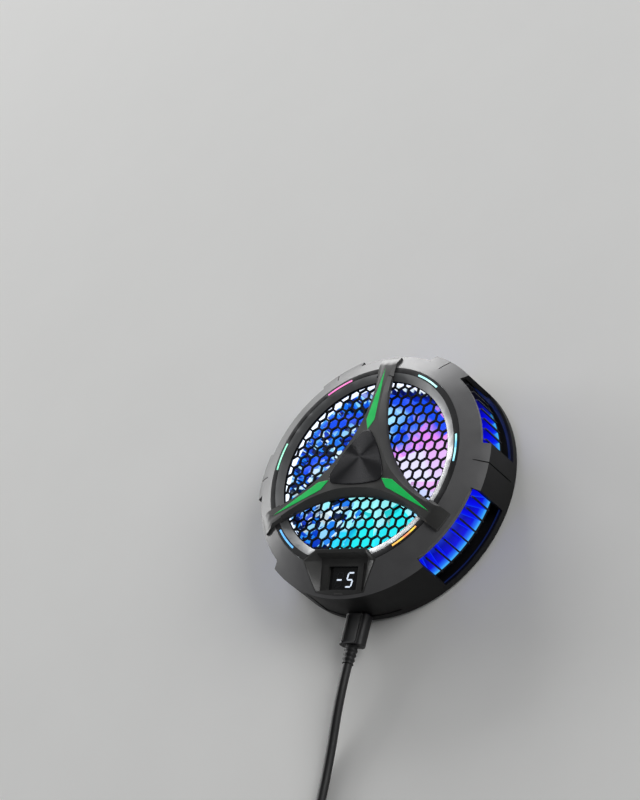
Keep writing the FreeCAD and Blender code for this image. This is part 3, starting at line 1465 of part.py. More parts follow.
def cable_tie():
    """A strap round the bundle of turns, on the side away from the cooler."""
    spread = coil_pitch * (coil_turns / 2 + 0.25) + cable_radius
    half, thick, gap = S.tie_wide / 2, S.tie_thick, S.tie_gap
    inmost = S.coil_mid - spread - gap
    inner = math.sqrt(inmost ** 2 - half ** 2) - 0.2
    outer = S.coil_mid + spread + gap
    high = coil_top + cable_radius + gap
    strap = block(-half, half, -outer - thick, thick - inner, 0, high + thick)
    strap = strap.cut(block(-half - 1, half + 1, -outer, -inner, -1, high))
    strap.translate(Vector(coil_centre.x, coil_centre.y, 0))
    return strap


made("cable_tie", cable_tie())

tail_start = coil_point(coil_total) + Vector(0, -STRAIGHT, 0)
far_height = (S.far_body_tall / 2)
tail = [
    tail_start,
    tail_start + Vector(0, -11.0, 0),
    Vector(tail_start.x - 0.5, tail_start.y - 24.0, tail_start.z - 6.0),
    Vector(tail_start.x - 2.0, tail_start.y - 36.0, far_height),
    Vector(tail_start.x - 2.0, tail_start.y - 47.0, far_height),
]
made("cable_tail", tube(tail, cable_radius))

far_x = tail[-1].x
far_front = -tail[-1].y


def far_relief():
    """The far strain relief, narrow at the cable and wide at its plug."""
    near = oval_wire(S.relief_end, S.relief_end, far_height, -far_front)
    far = oval_wire(S.relief_wide, (S.relief_end + 0.8), far_height,
                    -far_front - S.far_relief_long)
    solid = Part.makeLoft([near, far], True, True)
    solid.translate(Vector(far_x, 0, 0))
    return solid


made("far_relief", far_relief())
far_body_front = far_front + S.far_relief_long


def bar_at(x, wide, tall, long, front):
    return block(x - wide / 2, x + wide / 2, -front - long, -front, far_height - tall / 2, far_height + tall / 2)


far_body = bar_at(far_x, S.far_body_wide, S.far_body_tall, S.far_body_long, far_body_front)
far_body = far_body.makeFillet(1.6, [edge for edge in far_body.Edges
                                     if abs(edge.tangentAt(edge.FirstParameter).y) > 0.9])
made("far_plug_body", far_body)

far_shell_front = far_body_front + S.far_body_long
shell_wall = S.far_shell_wall
far_shell = bar_at(far_x, S.far_shell_wide, S.far_shell_tall, S.far_shell_long, far_shell_front)
far_bore = bar_at(far_x, (S.far_shell_wide - 2 * S.far_shell_wall), (S.far_shell_tall - 2 * S.far_shell_wall),
                  S.far_shell_long, far_shell_front + 1.0)
made("far_plug_shell", far_shell.cut(far_bore))

# Checks and export

doc.recompute()
for thing in doc.Objects:
    if "Invalid" in thing.State or "Error" in thing.State:
        raise RuntimeError(f"{thing.Label} failed: {thing.State}")
for name, thing in NODES.items():
    if thing.Shape.isNull() or not thing.Shape.isValid():
        raise RuntimeError(f"{name} has no valid shape")

os.makedirs("parts", exist_ok=True)
for name, thing in NODES.items():
    thing.Shape.exportStep(os.path.join("parts", name + ".step"))
    solids = len(thing.Shape.Solids)
    print(f"{name}: {solids} solid{'s' if solids > 1 else ''}, {thing.Shape.Volume:.0f} cubic mm")
print(len(NODES), "nodes")
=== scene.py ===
# %% [markdown]
# # A magnetic tablet cooler
# The round cooler has a cold plate below, a ring of metal fins, a fan under a honeycomb
# mesh and a ring of lights. The solids come ready made, each under its own name. This
# lesson dresses them: it shows how each part is made in the real world, models what the
# solids leave plain and gives every surface the finish that its maker would.

# %% The solids, ready made
import json
import math

import bmesh
import bpy
from mathutils import Matrix, Vector


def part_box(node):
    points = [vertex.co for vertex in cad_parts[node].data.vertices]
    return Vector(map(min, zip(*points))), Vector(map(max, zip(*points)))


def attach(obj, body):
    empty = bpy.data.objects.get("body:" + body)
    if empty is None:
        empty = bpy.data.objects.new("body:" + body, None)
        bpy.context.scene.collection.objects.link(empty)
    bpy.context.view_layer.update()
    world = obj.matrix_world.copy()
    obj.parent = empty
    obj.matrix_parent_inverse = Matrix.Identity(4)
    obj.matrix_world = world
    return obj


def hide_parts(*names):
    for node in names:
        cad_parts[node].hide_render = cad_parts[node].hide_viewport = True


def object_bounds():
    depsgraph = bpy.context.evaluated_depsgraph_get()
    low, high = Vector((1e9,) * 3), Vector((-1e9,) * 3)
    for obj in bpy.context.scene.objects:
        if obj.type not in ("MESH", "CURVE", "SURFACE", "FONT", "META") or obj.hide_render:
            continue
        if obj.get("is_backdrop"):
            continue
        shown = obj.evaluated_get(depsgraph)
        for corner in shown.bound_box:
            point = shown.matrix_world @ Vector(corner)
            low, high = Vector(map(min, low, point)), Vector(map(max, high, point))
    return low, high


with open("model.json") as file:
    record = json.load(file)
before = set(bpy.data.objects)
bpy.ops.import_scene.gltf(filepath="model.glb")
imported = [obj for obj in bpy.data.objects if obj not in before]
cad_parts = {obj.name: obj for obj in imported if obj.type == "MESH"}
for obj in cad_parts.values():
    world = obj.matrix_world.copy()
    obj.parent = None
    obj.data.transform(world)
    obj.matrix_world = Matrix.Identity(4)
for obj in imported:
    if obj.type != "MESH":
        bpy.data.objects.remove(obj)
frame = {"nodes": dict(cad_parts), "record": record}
solid_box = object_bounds()
bodies = frame["record"]["behaviour"]["bodies"]
body_of = {node: body for body, nodes in bodies.items() for node in nodes}
# Sizes are written in millimetres; times MM they are in metres, as Blender takes them.
MM = 0.001

# %% [markdown]
# ## The view
# A product photograph is taken with a long lens from some way off, so that a round object
# doesn't look stretched. The camera could be aimed with a constraint, but a written matrix
# keeps its slight roll, which no aim would give.

# %% The view
camera_data = bpy.data.cameras.new("view")
camera_data.lens = 94.27
camera_data.sensor_width = 36.0
camera = bpy.data.objects.new("view", camera_data)
bpy.context.scene.collection.objects.link(camera)
across = Vector((0.802056, 0.238092, -0.547738))
down = Vector((-0.059815, -0.880470, -0.470313))
ahead = Vector((-0.594245, 0.409981, -0.691945))
stands_at = Vector((0.5094, -0.3403, 0.6593))
turn = Matrix((across, -down, -ahead)).transposed()
camera.matrix_world = Matrix.Translation(stands_at) @ turn.to_4x4()
bpy.context.scene.camera = camera
# With the plain transform, a colour shows as it is written, without a film's soft curve.
bpy.context.scene.view_settings.view_transform = "Standard"
print("distance to the cooler:", round(camera.location.length, 3), "m")

# %% [markdown]
# ## The lead
# A power lead is a round jacket of soft PVC over copper strands. It leaves its plug
# straight, sinks to the table under its own weight and ends in a second plug; what isn't
# needed is wound up. It could be a swept mesh, but a NURBS spline through a few points
# bends as evenly as the real jacket, and the coil's turns are only more of its points.

# %% The lead's route
LEAD_RADIUS = 2.0
PLUG_HEIGHT = 5.78
FAR_PLUG_X, FAR_PLUG_HEIGHT = -0.9, 4.0
COIL_X, COIL_Y, COIL_MIDDLE, COIL_PITCH = 1.1, -175.0, 23.2, 4.65
COIL_TURNS, CLIMB, LAYERS, STEPS_A_TURN = 1.375, 0.5, 4, 18
coil_outer = COIL_MIDDLE + COIL_PITCH * COIL_TURNS / 2
coil_centre = Vector((COIL_X + coil_outer, COIL_Y, LEAD_RADIUS))


def coil_point(turns):
    """The lead's middle after so many turns: inwards, up a layer, outwards and up again."""
    span = COIL_TURNS + CLIMB
    layer = min(int(turns / span), LAYERS - 1)
    into = turns - layer * span
    way = -1 if layer % 2 == 0 else 1
    radius = coil_outer if way < 0 else coil_outer - COIL_PITCH * COIL_TURNS
    radius += way * COIL_PITCH * min(into, COIL_TURNS)
    height = layer * COIL_PITCH
    if into > COIL_TURNS:
        climb = into - COIL_TURNS
        radius += way * COIL_PITCH * min(climb, CLIMB - climb)
        height += COIL_PITCH * climb / CLIMB
    angle = math.pi + math.tau * turns
    return coil_centre + Vector((radius * math.cos(angle), radius * math.sin(angle), height))


all_turns = LAYERS * COIL_TURNS + (LAYERS - 1) * CLIMB
steps = round(all_turns * STEPS_A_TURN)
coil = [coil_point(all_turns * i / steps) for i in range(steps + 1)]
away = [Vector(p) for p in ((0, -80, PLUG_HEIGHT), (0, -95, PLUG_HEIGHT), (0, -120, LEAD_RADIUS),
                            (COIL_X, -148, LEAD_RADIUS), (COIL_X, -171, LEAD_RADIUS))]
back = [coil[-1] + Vector(p) for p in ((0, -4, 0), (0, -15, 0), (-0.5, -28, -6.0))]
back += [Vector((FAR_PLUG_X, y, FAR_PLUG_HEIGHT)) for y in (-215, -226)]
route = away + coil + back
print(len(route), "points,", all_turns, "turns in the coil")

# %% The lead's jacket
lead_curve = bpy.data.curves.new("lead_jacket", "CURVE")
lead_curve.dimensions = "3D"
line = lead_curve.splines.new("NURBS")
line.points.add(len(route) - 1)
for spot, place in zip(line.points, route):
    spot.co = (*(place * MM), 1.0)
    spot.radius = LEAD_RADIUS * MM
line.order_u = 3
line.use_endpoint_u = True
line.resolution_u = 5
lead_curve.resolution_u = 5
# Each point carries the jacket's radius, so the depth is one metre and the curve's box is right.
lead_curve.bevel_depth = 1.0
lead_curve.bevel_resolution = 5
lead_curve.use_fill_caps = True
lead = bpy.data.objects.new("lead_jacket", lead_curve)
bpy.context.scene.collection.objects.link(lead)
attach(lead, "lead")
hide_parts("cable", "cable_coil", "cable_tail")
print("jacket", 2 * LEAD_RADIUS, "mm thick")

# %% [markdown]
# ## Hands
# A few small helpers do what the hands do in Blender's window: take one piece, pick its
# faces or edges by their place, and put the finished piece down among the solids.

# %% Taking a piece and picking its parts


def take(piece):
    """Makes a piece the only one in hand."""
    bpy.ops.object.select_all(action="DESELECT")
    piece.select_set(True)
    bpy.context.view_layer.objects.active = piece
    return piece


def pick(kind, test):
    """In edit mode, picks the faces or edges of the piece in hand that pass a test."""
    bpy.ops.mesh.select_mode(type={"faces": "FACE", "edges": "EDGE"}[kind])
    bpy.ops.mesh.select_all(action="DESELECT")
    data = bpy.context.object.data
    mesh = bmesh.from_edit_mesh(data)
    chosen = [part for part in getattr(mesh, kind) if test(part)]
    for part in chosen:
        part.select_set(True)
    bmesh.update_edit_mesh(data)
    return len(chosen)


def runs_along(edge, axis):
    """Whether an edge runs along X, Y or Z."""
    run = edge.verts[1].co - edge.verts[0].co
    return abs(run[axis]) > 0.999 * run.length


print("a piece can be taken and its faces and edges picked")

# %% Blocks, modifiers and cuts


def block(middle, size, turned=0.0):
    """A plain block to start from: its middle in metres, its size in millimetres, its turn in radians."""
    bpy.ops.object.select_all(action="DESELECT")
    bpy.ops.mesh.primitive_cube_add(size=MM, location=middle, rotation=(0, 0, turned), scale=size)
    return take(bpy.context.object)


def modify(piece, kind, **settings):
    """Adds a modifier and applies it."""
    take(piece)
    step = piece.modifiers.new(kind.lower(), kind)
    for name, value in settings.items():
        setattr(step, name, value)
    bpy.ops.object.modifier_apply(modifier=step.name)


def cut(piece, middle, size, turned=0.0):
    """Cuts a block's shape out of a piece."""
    cutter = block(middle, size, turned)
    modify(piece, "BOOLEAN", operation="DIFFERENCE", object=cutter, solver="EXACT")
    bpy.data.objects.remove(cutter)


print("a block can be made, and cut out of a piece")

# %% Copying, softening, keeping and dressing
MERGE_WITHIN = 0.002
FLAT_WITHIN = math.radians(0.8)
SMOOTH_WITHIN = math.radians(40)


def keep(piece, name, material, *nodes, like=None):
    """Names a finished piece, puts its place into its mesh and lets it stand for its solids."""
    take(piece)
    bpy.ops.object.transform_apply(location=True, rotation=True, scale=True)
    piece.name = piece.data.name = name
    piece.data.materials.clear()
    piece.data.materials.append(material)
    model = like or nodes[0]
    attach(piece, body_of[model])
    if nodes:
        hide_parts(*nodes)
    print(name, len(piece.data.polygons), "faces")


def soften(piece, width, segments=2, limit=32.0):
    """Rounds a piece's sharp edges, as a mould or a tool leaves them, and smooths its shading."""
    modify(piece, "BEVEL", width=width * MM, segments=segments, limit_method="ANGLE",
           angle_limit=math.radians(limit), use_clamp_overlap=True)
    take(piece)
    bpy.ops.object.shade_smooth_by_angle(angle=SMOOTH_WITHIN)
    modify(piece, "WEIGHTED_NORMAL", keep_sharp=True)


def copy_of(node):
    """A copy of a solid's mesh to work on, with its loose triangles joined into faces."""
    mesh = frame["nodes"][node].data.copy()
    piece = bpy.data.objects.new(node + "_piece", mesh)
    bpy.context.scene.collection.objects.link(piece)
    take(piece)
    bpy.ops.object.mode_set(mode="EDIT")
    bpy.ops.mesh.select_all(action="SELECT")
    bpy.ops.mesh.remove_doubles(threshold=MERGE_WITHIN * MM)
    bpy.ops.mesh.dissolve_limited(angle_limit=FLAT_WITHIN)
    bpy.ops.object.mode_set(mode="OBJECT")
    return piece


def dress(node, material):
    """Gives its finish to a solid that stays as it is."""
    for slot in frame["nodes"][node].material_slots:
        slot.material = material


print("hands ready")

# %% [markdown]
# ## Finishes
# A finish starts from what a surface is and how it was made. Plastic from a mould has a
# fine grain that was etched into the steel; metal shows the marks of the tool that cut
# it. Each could be a photograph wrapped round the part. Noise that is worked out at a
# real size in millimetres never stretches, and it looks right from near and far.

# %% Colours and nodes


def linear(code):
    """Turns an sRGB hex colour into the linear numbers that a shader reads."""
    parts = [int(code[i:i + 2], 16) / 255 for i in (1, 3, 5)]
    return tuple(c / 12.92 if c <= 0.04045 else ((c + 0.055) / 1.055) ** 2.4 for c in parts) + (1.0,)


def add_node(tree, kind, inputs, stops=(), **settings):
    """Adds a node, gives it its settings and colour stops, and fills its sockets with values or links."""
    found = tree.nodes.new(kind)
    for name, value in settings.items():
        setattr(found, name, value)
    if stops:
        points = found.color_ramp.elements
        while len(points) < len(stops):
            points.new(0.5)
        for point, (position, colour) in zip(points, stops):
            point.position, point.color = position, linear(colour)
    for name, value in inputs.items():
        if isinstance(value, bpy.types.NodeSocket):
            tree.links.new(value, found.inputs[name])
        else:
            found.inputs[name].default_value = value
    return found


print("colours and nodes ready")

# %% Surfaces
# A wave texture of this scale over a spacing in metres repeats at that spacing.
WAVE = math.tau / 20


def finish(name, roughness, metallic=0.0, **sockets):
    """Starts a material with what is the same all over its surface."""
    material = bpy.data.materials.new(name)
    material.use_nodes = True
    shader = material.node_tree.nodes["Principled BSDF"]
    shader.inputs["Roughness"].default_value = roughness
    shader.inputs["Metallic"].default_value = metallic
    for socket, value in sockets.items():
        shader.inputs[socket.replace("_", " ")].default_value = value
    return material, material.node_tree, shader


def mottle(tree, shader, size, low, high, rough_low, rough_high):
    """Faint cloudy changes of colour and gloss, so many millimetres across."""
    place = add_node(tree, "ShaderNodeTexCoord", {}).outputs["Object"]
    cloud = add_node(tree, "ShaderNodeTexNoise", {"Vector": place, "Scale": 1 / (size * MM), "Detail": 4.0})
    tint = add_node(tree, "ShaderNodeValToRGB", {0: cloud.outputs["Fac"]}, stops=((0.3, low), (0.7, high)))
    tree.links.new(tint.outputs["Color"], shader.inputs["Base Color"])
    gloss = add_node(tree, "ShaderNodeMapRange", {
        "Value": cloud.outputs["Fac"], "From Min": 0.3, "From Max": 0.7,
        "To Min": rough_low, "To Max": rough_high})
    tree.links.new(gloss.outputs["Result"], shader.inputs["Roughness"])
    return place


def relief(tree, shader, height, depth, strength=1.0):
    """Raises a surface by a texture's height, so many millimetres at most."""
    bump = add_node(tree, "ShaderNodeBump", {"Height": height, "Strength": strength, "Distance": depth * MM})
    tree.links.new(bump.outputs["Normal"], shader.inputs["Normal"])


def grain(tree, shader, place, size, depth):
    """A fine relief of that size and depth in millimetres."""
    noise = add_node(tree, "ShaderNodeTexNoise", {"Vector": place, "Scale": 1 / (size * MM), "Detail": 2.0})
    relief(tree, shader, noise.outputs["Fac"], depth)


def moulded(name, low, high, rough_low, rough_high, size=0.55, depth=0.012, shine=0.5):
    """Plastic from an etched mould: an even satin with a grain that is only just seen."""
    material, tree, shader = finish(name, rough_low, Specular_IOR_Level=shine)
    place = mottle(tree, shader, 9.0, low, high, rough_low, rough_high)
    grain(tree, shader, place, size, depth)
    return material


def turned_on_a_lathe(tree, shader, place, pitch, wander, depth, strength):
    """Circles round the axis, so many millimetres apart; light runs over them as two opposite fans."""
    around_axis = add_node(tree, "ShaderNodeTangent", {}, direction_type="RADIAL", axis="Z")
    tree.links.new(around_axis.outputs["Tangent"], shader.inputs["Tangent"])
    rings = add_node(tree, "ShaderNodeTexWave", {
        "Vector": place, "Scale": WAVE / (pitch * MM), "Distortion": wander, "Detail": 2.0},
        wave_type="RINGS", rings_direction="Z")
    relief(tree, shader, rings.outputs["Fac"], depth, strength)
    return rings.outputs["Fac"]


print("finishes ready")

# %% Where a point lies


def polar(tree):
    """Where a point lies: its height, its angle round the axis as a share of a turn, and its radius."""
    place = add_node(tree, "ShaderNodeTexCoord", {}).outputs["Object"]
    where = add_node(tree, "ShaderNodeSeparateXYZ", {0: place}).outputs
    angle = add_node(tree, "ShaderNodeMath", {0: where["Y"], 1: where["X"]}, operation="ARCTAN2").outputs[0]
    share = add_node(tree, "ShaderNodeMapRange", {"Value": angle, "From Min": -math.pi, "From Max": math.pi})
    flat = add_node(tree, "ShaderNodeCombineXYZ", {"X": where["X"], "Y": where["Y"]}).outputs[0]
    radius = add_node(tree, "ShaderNodeVectorMath", {0: flat}, operation="LENGTH").outputs["Value"]
    return where["Z"], share.outputs[0], radius


def slide(tree, value, first, last):
    """Rises from nought to one while a value goes from the first limit to the last."""
    limits = {"Value": value, "From Min": first, "From Max": last}
    return add_node(tree, "ShaderNodeMapRange", limits).outputs[0]


print("a point's angle, radius and height can be read")

# %% [markdown]
# ### The housing's plastics
# The shell, the ring and the tray are injection moulded in ABS. The real grain is about
# 0.1 mm, too fine for this view, so it is drawn at half a millimetre. The shell is a
# warm dark grey, the ring charcoal and the tray nearly black.

# %% The housing's plastics
shell_abs = moulded("satin_grey_abs", "#5b5b5c", "#636364", 0.34, 0.42)
ring_abs = moulded("charcoal_abs", "#222223", "#28282a", 0.34, 0.42, shine=0.3)
tray_abs = moulded("black_abs", "#151517", "#1b1b1e", 0.28, 0.36)
cover_abs = moulded("satin_dark_abs", "#3b3b3a", "#434342", 0.34, 0.42)
mesh_nylon = moulded("black_nylon", "#040405", "#08080a", 0.62, 0.74, size=0.4, shine=0.12)
print("five plastics")

# %% [markdown]
# ## The shells
# The mould's edges are never sharp: the cutter that made it left a small radius. The
# solids have sharp edges, so each shell is a copy of its solid with its loose triangles
# merged and every edge bevelled. The bevels catch a thin line of light, which is what
# makes an edge look real.

# %% The shells
for node, name, material, width in (
        ("front_shell", "front_shell_moulding", shell_abs, 0.22),
        ("display_housing", "display_hood", cover_abs, 0.15),
        ("light_ring", "light_ring_moulding", ring_abs, 0.16),
        ("rear_shell", "rear_tray", tray_abs, 0.2),
        ("spider", "three_armed_cover", cover_abs, 0.2),
        ("honeycomb_grille", "honeycomb_mesh", mesh_nylon, 0.12)):
    shell = copy_of(node)
    soften(shell, width)
    keep(shell, name, material, node)

# %% [markdown]
# ### Second finishes on the shells
# The upright walls are painted darker than the face: painted shade, for they stand in
# shadow. The shell's hidden inner edge, under the rim of the mesh, faces the lamps and
# carries painted white light, and the tray's floor outside the fins carries a little painted
# blue light from them. These could be pieces of their own, but the real walls are one
# moulding with the face, so the faces of one mesh share out the finishes by where they lie.

# %% Second finishes on the shells
# Limits on how far from the axis a face lies, and how high.
PAINTED_SHADE_BEYOND = 55.5
LIP_WITHIN, LIP_BELOW = 43.9, 25.0
FLOOR_BEYOND, FLOOR_WITHIN, FLOOR_BELOW = 46.0, 57.3, 4.2
# The walls' near-black is painted shade, for the upright walls stand in shadow.
wall_painted_shade = moulded("black_abs_painted_shade", "#0a0a0b", "#0f0f10", 0.50, 0.60, shine=0.3)
# Painted white light on the shell's hidden inner edge, which faces the lamps.
lip_painted_light, tree, shader = finish("inner_edge_painted_light", 0.5, Emission_Color=linear("#f4faff"), Emission_Strength=1.0)
mottle(tree, shader, 4.0, "#dfeefc", "#f4faff", 0.46, 0.56)
# The tray's floor outside the fins carries painted blue light, brightest near the fins and fading outwards.
floor_painted_blue_light, tree, shader = finish("black_abs_painted_blue_light", 0.3, Emission_Strength=1.0)
mottle(tree, shader, 9.0, "#151517", "#1b1b1e", 0.28, 0.36)
_, _, radius = polar(tree)
painted_blue_spill = add_node(tree, "ShaderNodeValToRGB", {0: slide(tree, radius, 52 * MM, 57.5 * MM)},
                 stops=((0.0, "#0a2880"), (0.6, "#0c1c50"), (1.0, "#04081c")))
tree.links.new(painted_blue_spill.outputs["Color"], shader.inputs["Emission Color"])


def on_lip(face, reach):
    """Whether a face lies on the shell's hidden inner edge."""
    return reach < LIP_WITHIN and face.center.z < LIP_BELOW * MM


def on_floor(face, reach):
    """Whether a face lies on the tray's floor, outside the fins."""
    low = face.center.z < FLOOR_BELOW * MM
    return FLOOR_BEYOND < reach < FLOOR_WITHIN and low and face.normal.z > 0.5


for name, extra, is_lit in (("front_shell_moulding", lip_painted_light, on_lip), ("rear_tray", floor_painted_blue_light, on_floor)):
    shell_piece = bpy.data.objects[name]
    for material in (wall_painted_shade, extra):
        shell_piece.data.materials.append(material)
    for face in shell_piece.data.polygons:
        reach = math.hypot(face.center.x, face.center.y) / MM
        # Upright walls take the painted shade; the inner edge and the tray's floor take painted light.
        if reach > PAINTED_SHADE_BEYOND and abs(face.normal.z) < 0.5:
            face.material_index = 1
        elif is_lit(face, reach):
            face.material_index = 2
    finishes = [face.material_index for face in shell_piece.data.polygons]
    print(name, "faces by finish:", [finishes.count(number) for number in (0, 1, 2)])

# %% [markdown]
# ### The plated funnel
# The slope inside the ring of lights shines much more than the plastic round it, like a
# satin plated band. It could be a piece of its own; here it is a second finish on the
# ring's inner faces.

# %% The plated funnel
FUNNEL_BEYOND, FUNNEL_WITHIN, FUNNEL_ABOVE = 40.4, 44.1, 27.4
funnel_plate, tree, shader = finish("satin_chrome_plate", 0.44, 1.0)
place = mottle(tree, shader, 14.0, "#9b9c9d", "#a5a6a7", 0.42, 0.47)
grain(tree, shader, place, 0.5, 0.002)
ring_piece = bpy.data.objects["light_ring_moulding"]
ring_piece.data.materials.append(funnel_plate)
for face in ring_piece.data.polygons:
    reach = math.hypot(face.center.x, face.center.y) / MM
    slopes = 0.8 < face.normal.z < 0.97
    if FUNNEL_BEYOND < reach < FUNNEL_WITHIN and slopes and face.center.z > FUNNEL_ABOVE * MM:
        face.material_index = 1
print(sum(face.material_index for face in ring_piece.data.polygons), "faces of the funnel are plated")

# %% [markdown]
# ## The green inlays
# Each arm holds a long kite of aluminium, painted green and pressed into a seat. Paint on
# metal is smooth, with a slight orange peel and a thin clear coat over it.

# %% The green inlays
green_paint, tree, shader = finish("green_painted_aluminium", 0.32, Coat_Weight=0.35, Coat_Roughness=0.12)
place = mottle(tree, shader, 6.0, "#02dc64", "#0ae66c", 0.28, 0.36)
grain(tree, shader, place, 1.1, 0.006)
for number in (1, 2, 3):
    kite = copy_of(f"arm_inlay_{number}")
    soften(kite, 0.1)
    keep(kite, f"green_kite_{number}", green_paint, f"arm_inlay_{number}")

# %% [markdown]
# ## The cap
# The cap is black anodised aluminium. It was turned on a lathe, so its face has fine
# circles round the middle, and light runs over it as two opposite fans. Thousands of
# grooves could be modelled; an anisotropic shader with rings of relief gives the same look.

# %% The cap
cap_metal, tree, shader = finish("black_anodised_aluminium", 0.27, 1.0,
                                 Anisotropic=0.95, Anisotropic_Rotation=0.25)
place = add_node(tree, "ShaderNodeTexCoord", {}).outputs["Object"]
# The real grooves are 0.05 mm apart; they are drawn 0.45 mm apart so that they show.
rings = turned_on_a_lathe(tree, shader, place, pitch=0.45, wander=0.6, depth=0.003, strength=0.3)
tint = add_node(tree, "ShaderNodeValToRGB", {0: rings}, stops=((0.2, "#424244"), (0.8, "#525254")))
tree.links.new(tint.outputs["Color"], shader.inputs["Base Color"])
cap = copy_of("centre_cap")
soften(cap, 0.25, segments=3)
keep(cap, "turned_cap", cap_metal, "centre_cap")

# %% [markdown]
# ## The display
# Behind a smoked window lie two digits of seven bars each. The lit ones show a minus sign
# and a five; the others are only just seen, as grey glass. Lit bars are given light of
# their own, and the unlit ones are a shade brighter than the window.

# %% The display
smoked, tree, shader = finish("smoked_acrylic", 0.16, Coat_Weight=0.4, Coat_Roughness=0.06)
mottle(tree, shader, 5.0, "#1a1a1c", "#202022", 0.14, 0.20)
lit_bar, tree, shader = finish("lit_digit", 0.4, Emission_Color=linear("#dce8f8"), Emission_Strength=0.9)
mottle(tree, shader, 1.5, "#c9d6e4", "#e2ecf6", 0.36, 0.44)
dark_bar, tree, shader = finish("unlit_digit", 0.3)
mottle(tree, shader, 1.5, "#2b2c2f", "#323337", 0.28, 0.34)
dress("display_module", smoked)
dress("display_segments_lit", lit_bar)
dress("display_segments_unlit", dark_bar)
print("display reads -5")

# %% [markdown]
# ## Glow
# Lamps on a ring board shine through six frosted bars and down on the fins. The light
# could come from the lamps alone, but so small a source gives a speckled picture, so the
# lit surfaces carry painted light: a little light of their own, coloured by where they stand.

# %% Six frosted bars
BARS = {1: ("#4cb0e6", "#a4f0f8"), 2: ("#7ce8ea", "#c8f8f6"), 3: ("#e04cae", "#f58ccc"),
        4: ("#5ce6b4", "#b4f4dc"), 5: ("#3a9cf0", "#86ccf8"), 6: ("#f4e03a", "#f88668")}
for number, (first, last) in BARS.items():
    frosted, tree, shader = finish(f"frosted_bar_{number}", 0.45, Emission_Strength=0.9)
    place = add_node(tree, "ShaderNodeTexCoord", {}).outputs["Object"]
    cloud = add_node(tree, "ShaderNodeTexNoise", {"Vector": place, "Scale": 1 / (5.0 * MM), "Detail": 2.0})
    tint = add_node(tree, "ShaderNodeValToRGB", {0: cloud.outputs["Fac"]},
                    stops=((0.35, first), (0.65, last)))
    for socket in ("Base Color", "Emission Color"):
        tree.links.new(tint.outputs["Color"], shader.inputs[socket])
    dress(f"light_bar_{number}", frosted)
print(len(BARS), "bars")

# %% [markdown]
# ### Fins in coloured light
# The fins are sheared from aluminium and anodised black. In use they are bathed in blue
# light, which is painted on them as light of their own, and each side of the fan has painted
# light of its own colour: pink on the right, cyan by the display and a broken blue and white
# on the left. One row of painted light colours follows the angle round the axis, a second
# the height, and a third the way out under the fins.

# %% Broken light


def scattered(tree, place, value, size, amount):
    """Shifts a value a little up or down from place to place, as clear plastic scatters light."""
    shards = add_node(tree, "ShaderNodeTexVoronoi", {"Vector": place, "Scale": 1 / (size * MM)})
    shift = add_node(tree, "ShaderNodeMath", {0: shards.outputs["Color"], 1: 0.5}, operation="SUBTRACT")
    step = add_node(tree, "ShaderNodeMath", {0: shift.outputs[0], 1: amount}, operation="MULTIPLY")
    return add_node(tree, "ShaderNodeMath", {0: value, 1: step.outputs[0]}, operation="ADD").outputs[0]


def both(tree, one, other):
    """Two shares as one: full only where both are full."""
    return add_node(tree, "ShaderNodeMath", {0: one, 1: other}, operation="MULTIPLY").outputs[0]


def blend(tree, share, first, second):
    """Goes from one colour to another, each either a link or a plain colour."""
    mix = add_node(tree, "ShaderNodeMix", {"Factor": share}, data_type="RGBA")
    # Inputs 6 and 7 and output 2 are the ones for colours.
    for number, colour in ((6, first), (7, second)):
        if isinstance(colour, bpy.types.NodeSocket):
            tree.links.new(colour, mix.inputs[number])
        else:
            mix.inputs[number].default_value = colour
    return mix.outputs[2]


# Painted light colours round the axis, by the share of a turn from the far left.
PAINTED_LIGHT_BELOW = (
    (0.0, "#0a34e0"), (0.095, "#0a34e0"), (0.125, "#1cb4f2"), (0.145, "#22f0f4"), (0.36, "#22ecf4"),
    (0.43, "#c0ccfc"), (0.50, "#ecb8fa"), (0.56, "#f4a4f8"), (0.65, "#f088f4"), (0.68, "#8080f8"),
    (0.705, "#1448f0"), (0.74, "#1464f0"), (0.768, "#9ae8fc"), (0.79, "#b8f0ff"), (0.82, "#2a90f4"),
    (0.86, "#0a30c8"), (0.89, "#4cb8f8"), (0.92, "#041478"), (0.96, "#3aa4f4"), (1.0, "#0a34e0"))
PAINTED_LIGHT_ON_BLADES = (
    (0.0, "#0a3ce4"), (0.15, "#1668ec"), (0.20, "#22e0f4"), (0.35, "#22f0f2"), (0.41, "#b0dcfc"),
    (0.46, "#ece0fc"), (0.51, "#f4ccfa"), (0.565, "#f6b0f8"), (0.61, "#f490f6"), (0.635, "#b094f8"),
    (0.65, "#5084f8"), (0.67, "#1040e8"), (0.71, "#2a88f4"), (0.735, "#a8ecfc"), (0.77, "#a8ecfc"),
    (0.80, "#3a98f4"), (0.86, "#1450e4"), (1.0, "#0a3ce4"))
# Dark and bright splinters of painted light for the left side.
PAINTED_SPLINTER_LIGHT = (
    (0.0, "#000418"), (0.29, "#010c44"), (0.31, "#0428b0"), (0.42, "#0650e0"), (0.44, "#1468ec"),
    (0.58, "#2a94f4"), (0.60, "#84d0fa"), (0.70, "#b4e8fc"), (0.72, "#d4f2fe"), (0.77, "#e4f8ff"),
    (0.79, "#010830"), (1.0, "#021458"))
# The stretches of a turn over which the left side's splinters come and go.
SPLINTERS_START = ((0.785, 0.82), (0.19, 0.15))


def splinter(tree, place, share, size, colour):
    """On the left side, a colour breaks up into dark and bright splinters of painted light."""
    shards = add_node(tree, "ShaderNodeTexVoronoi", {"Vector": place, "Scale": 1 / (size * MM)})
    broken = add_node(tree, "ShaderNodeValToRGB", {0: shards.outputs["Color"]}, stops=PAINTED_SPLINTER_LIGHT).outputs["Color"]
    for first, last in SPLINTERS_START:
        colour = blend(tree, slide(tree, share, first, last), colour, broken)
    return colour


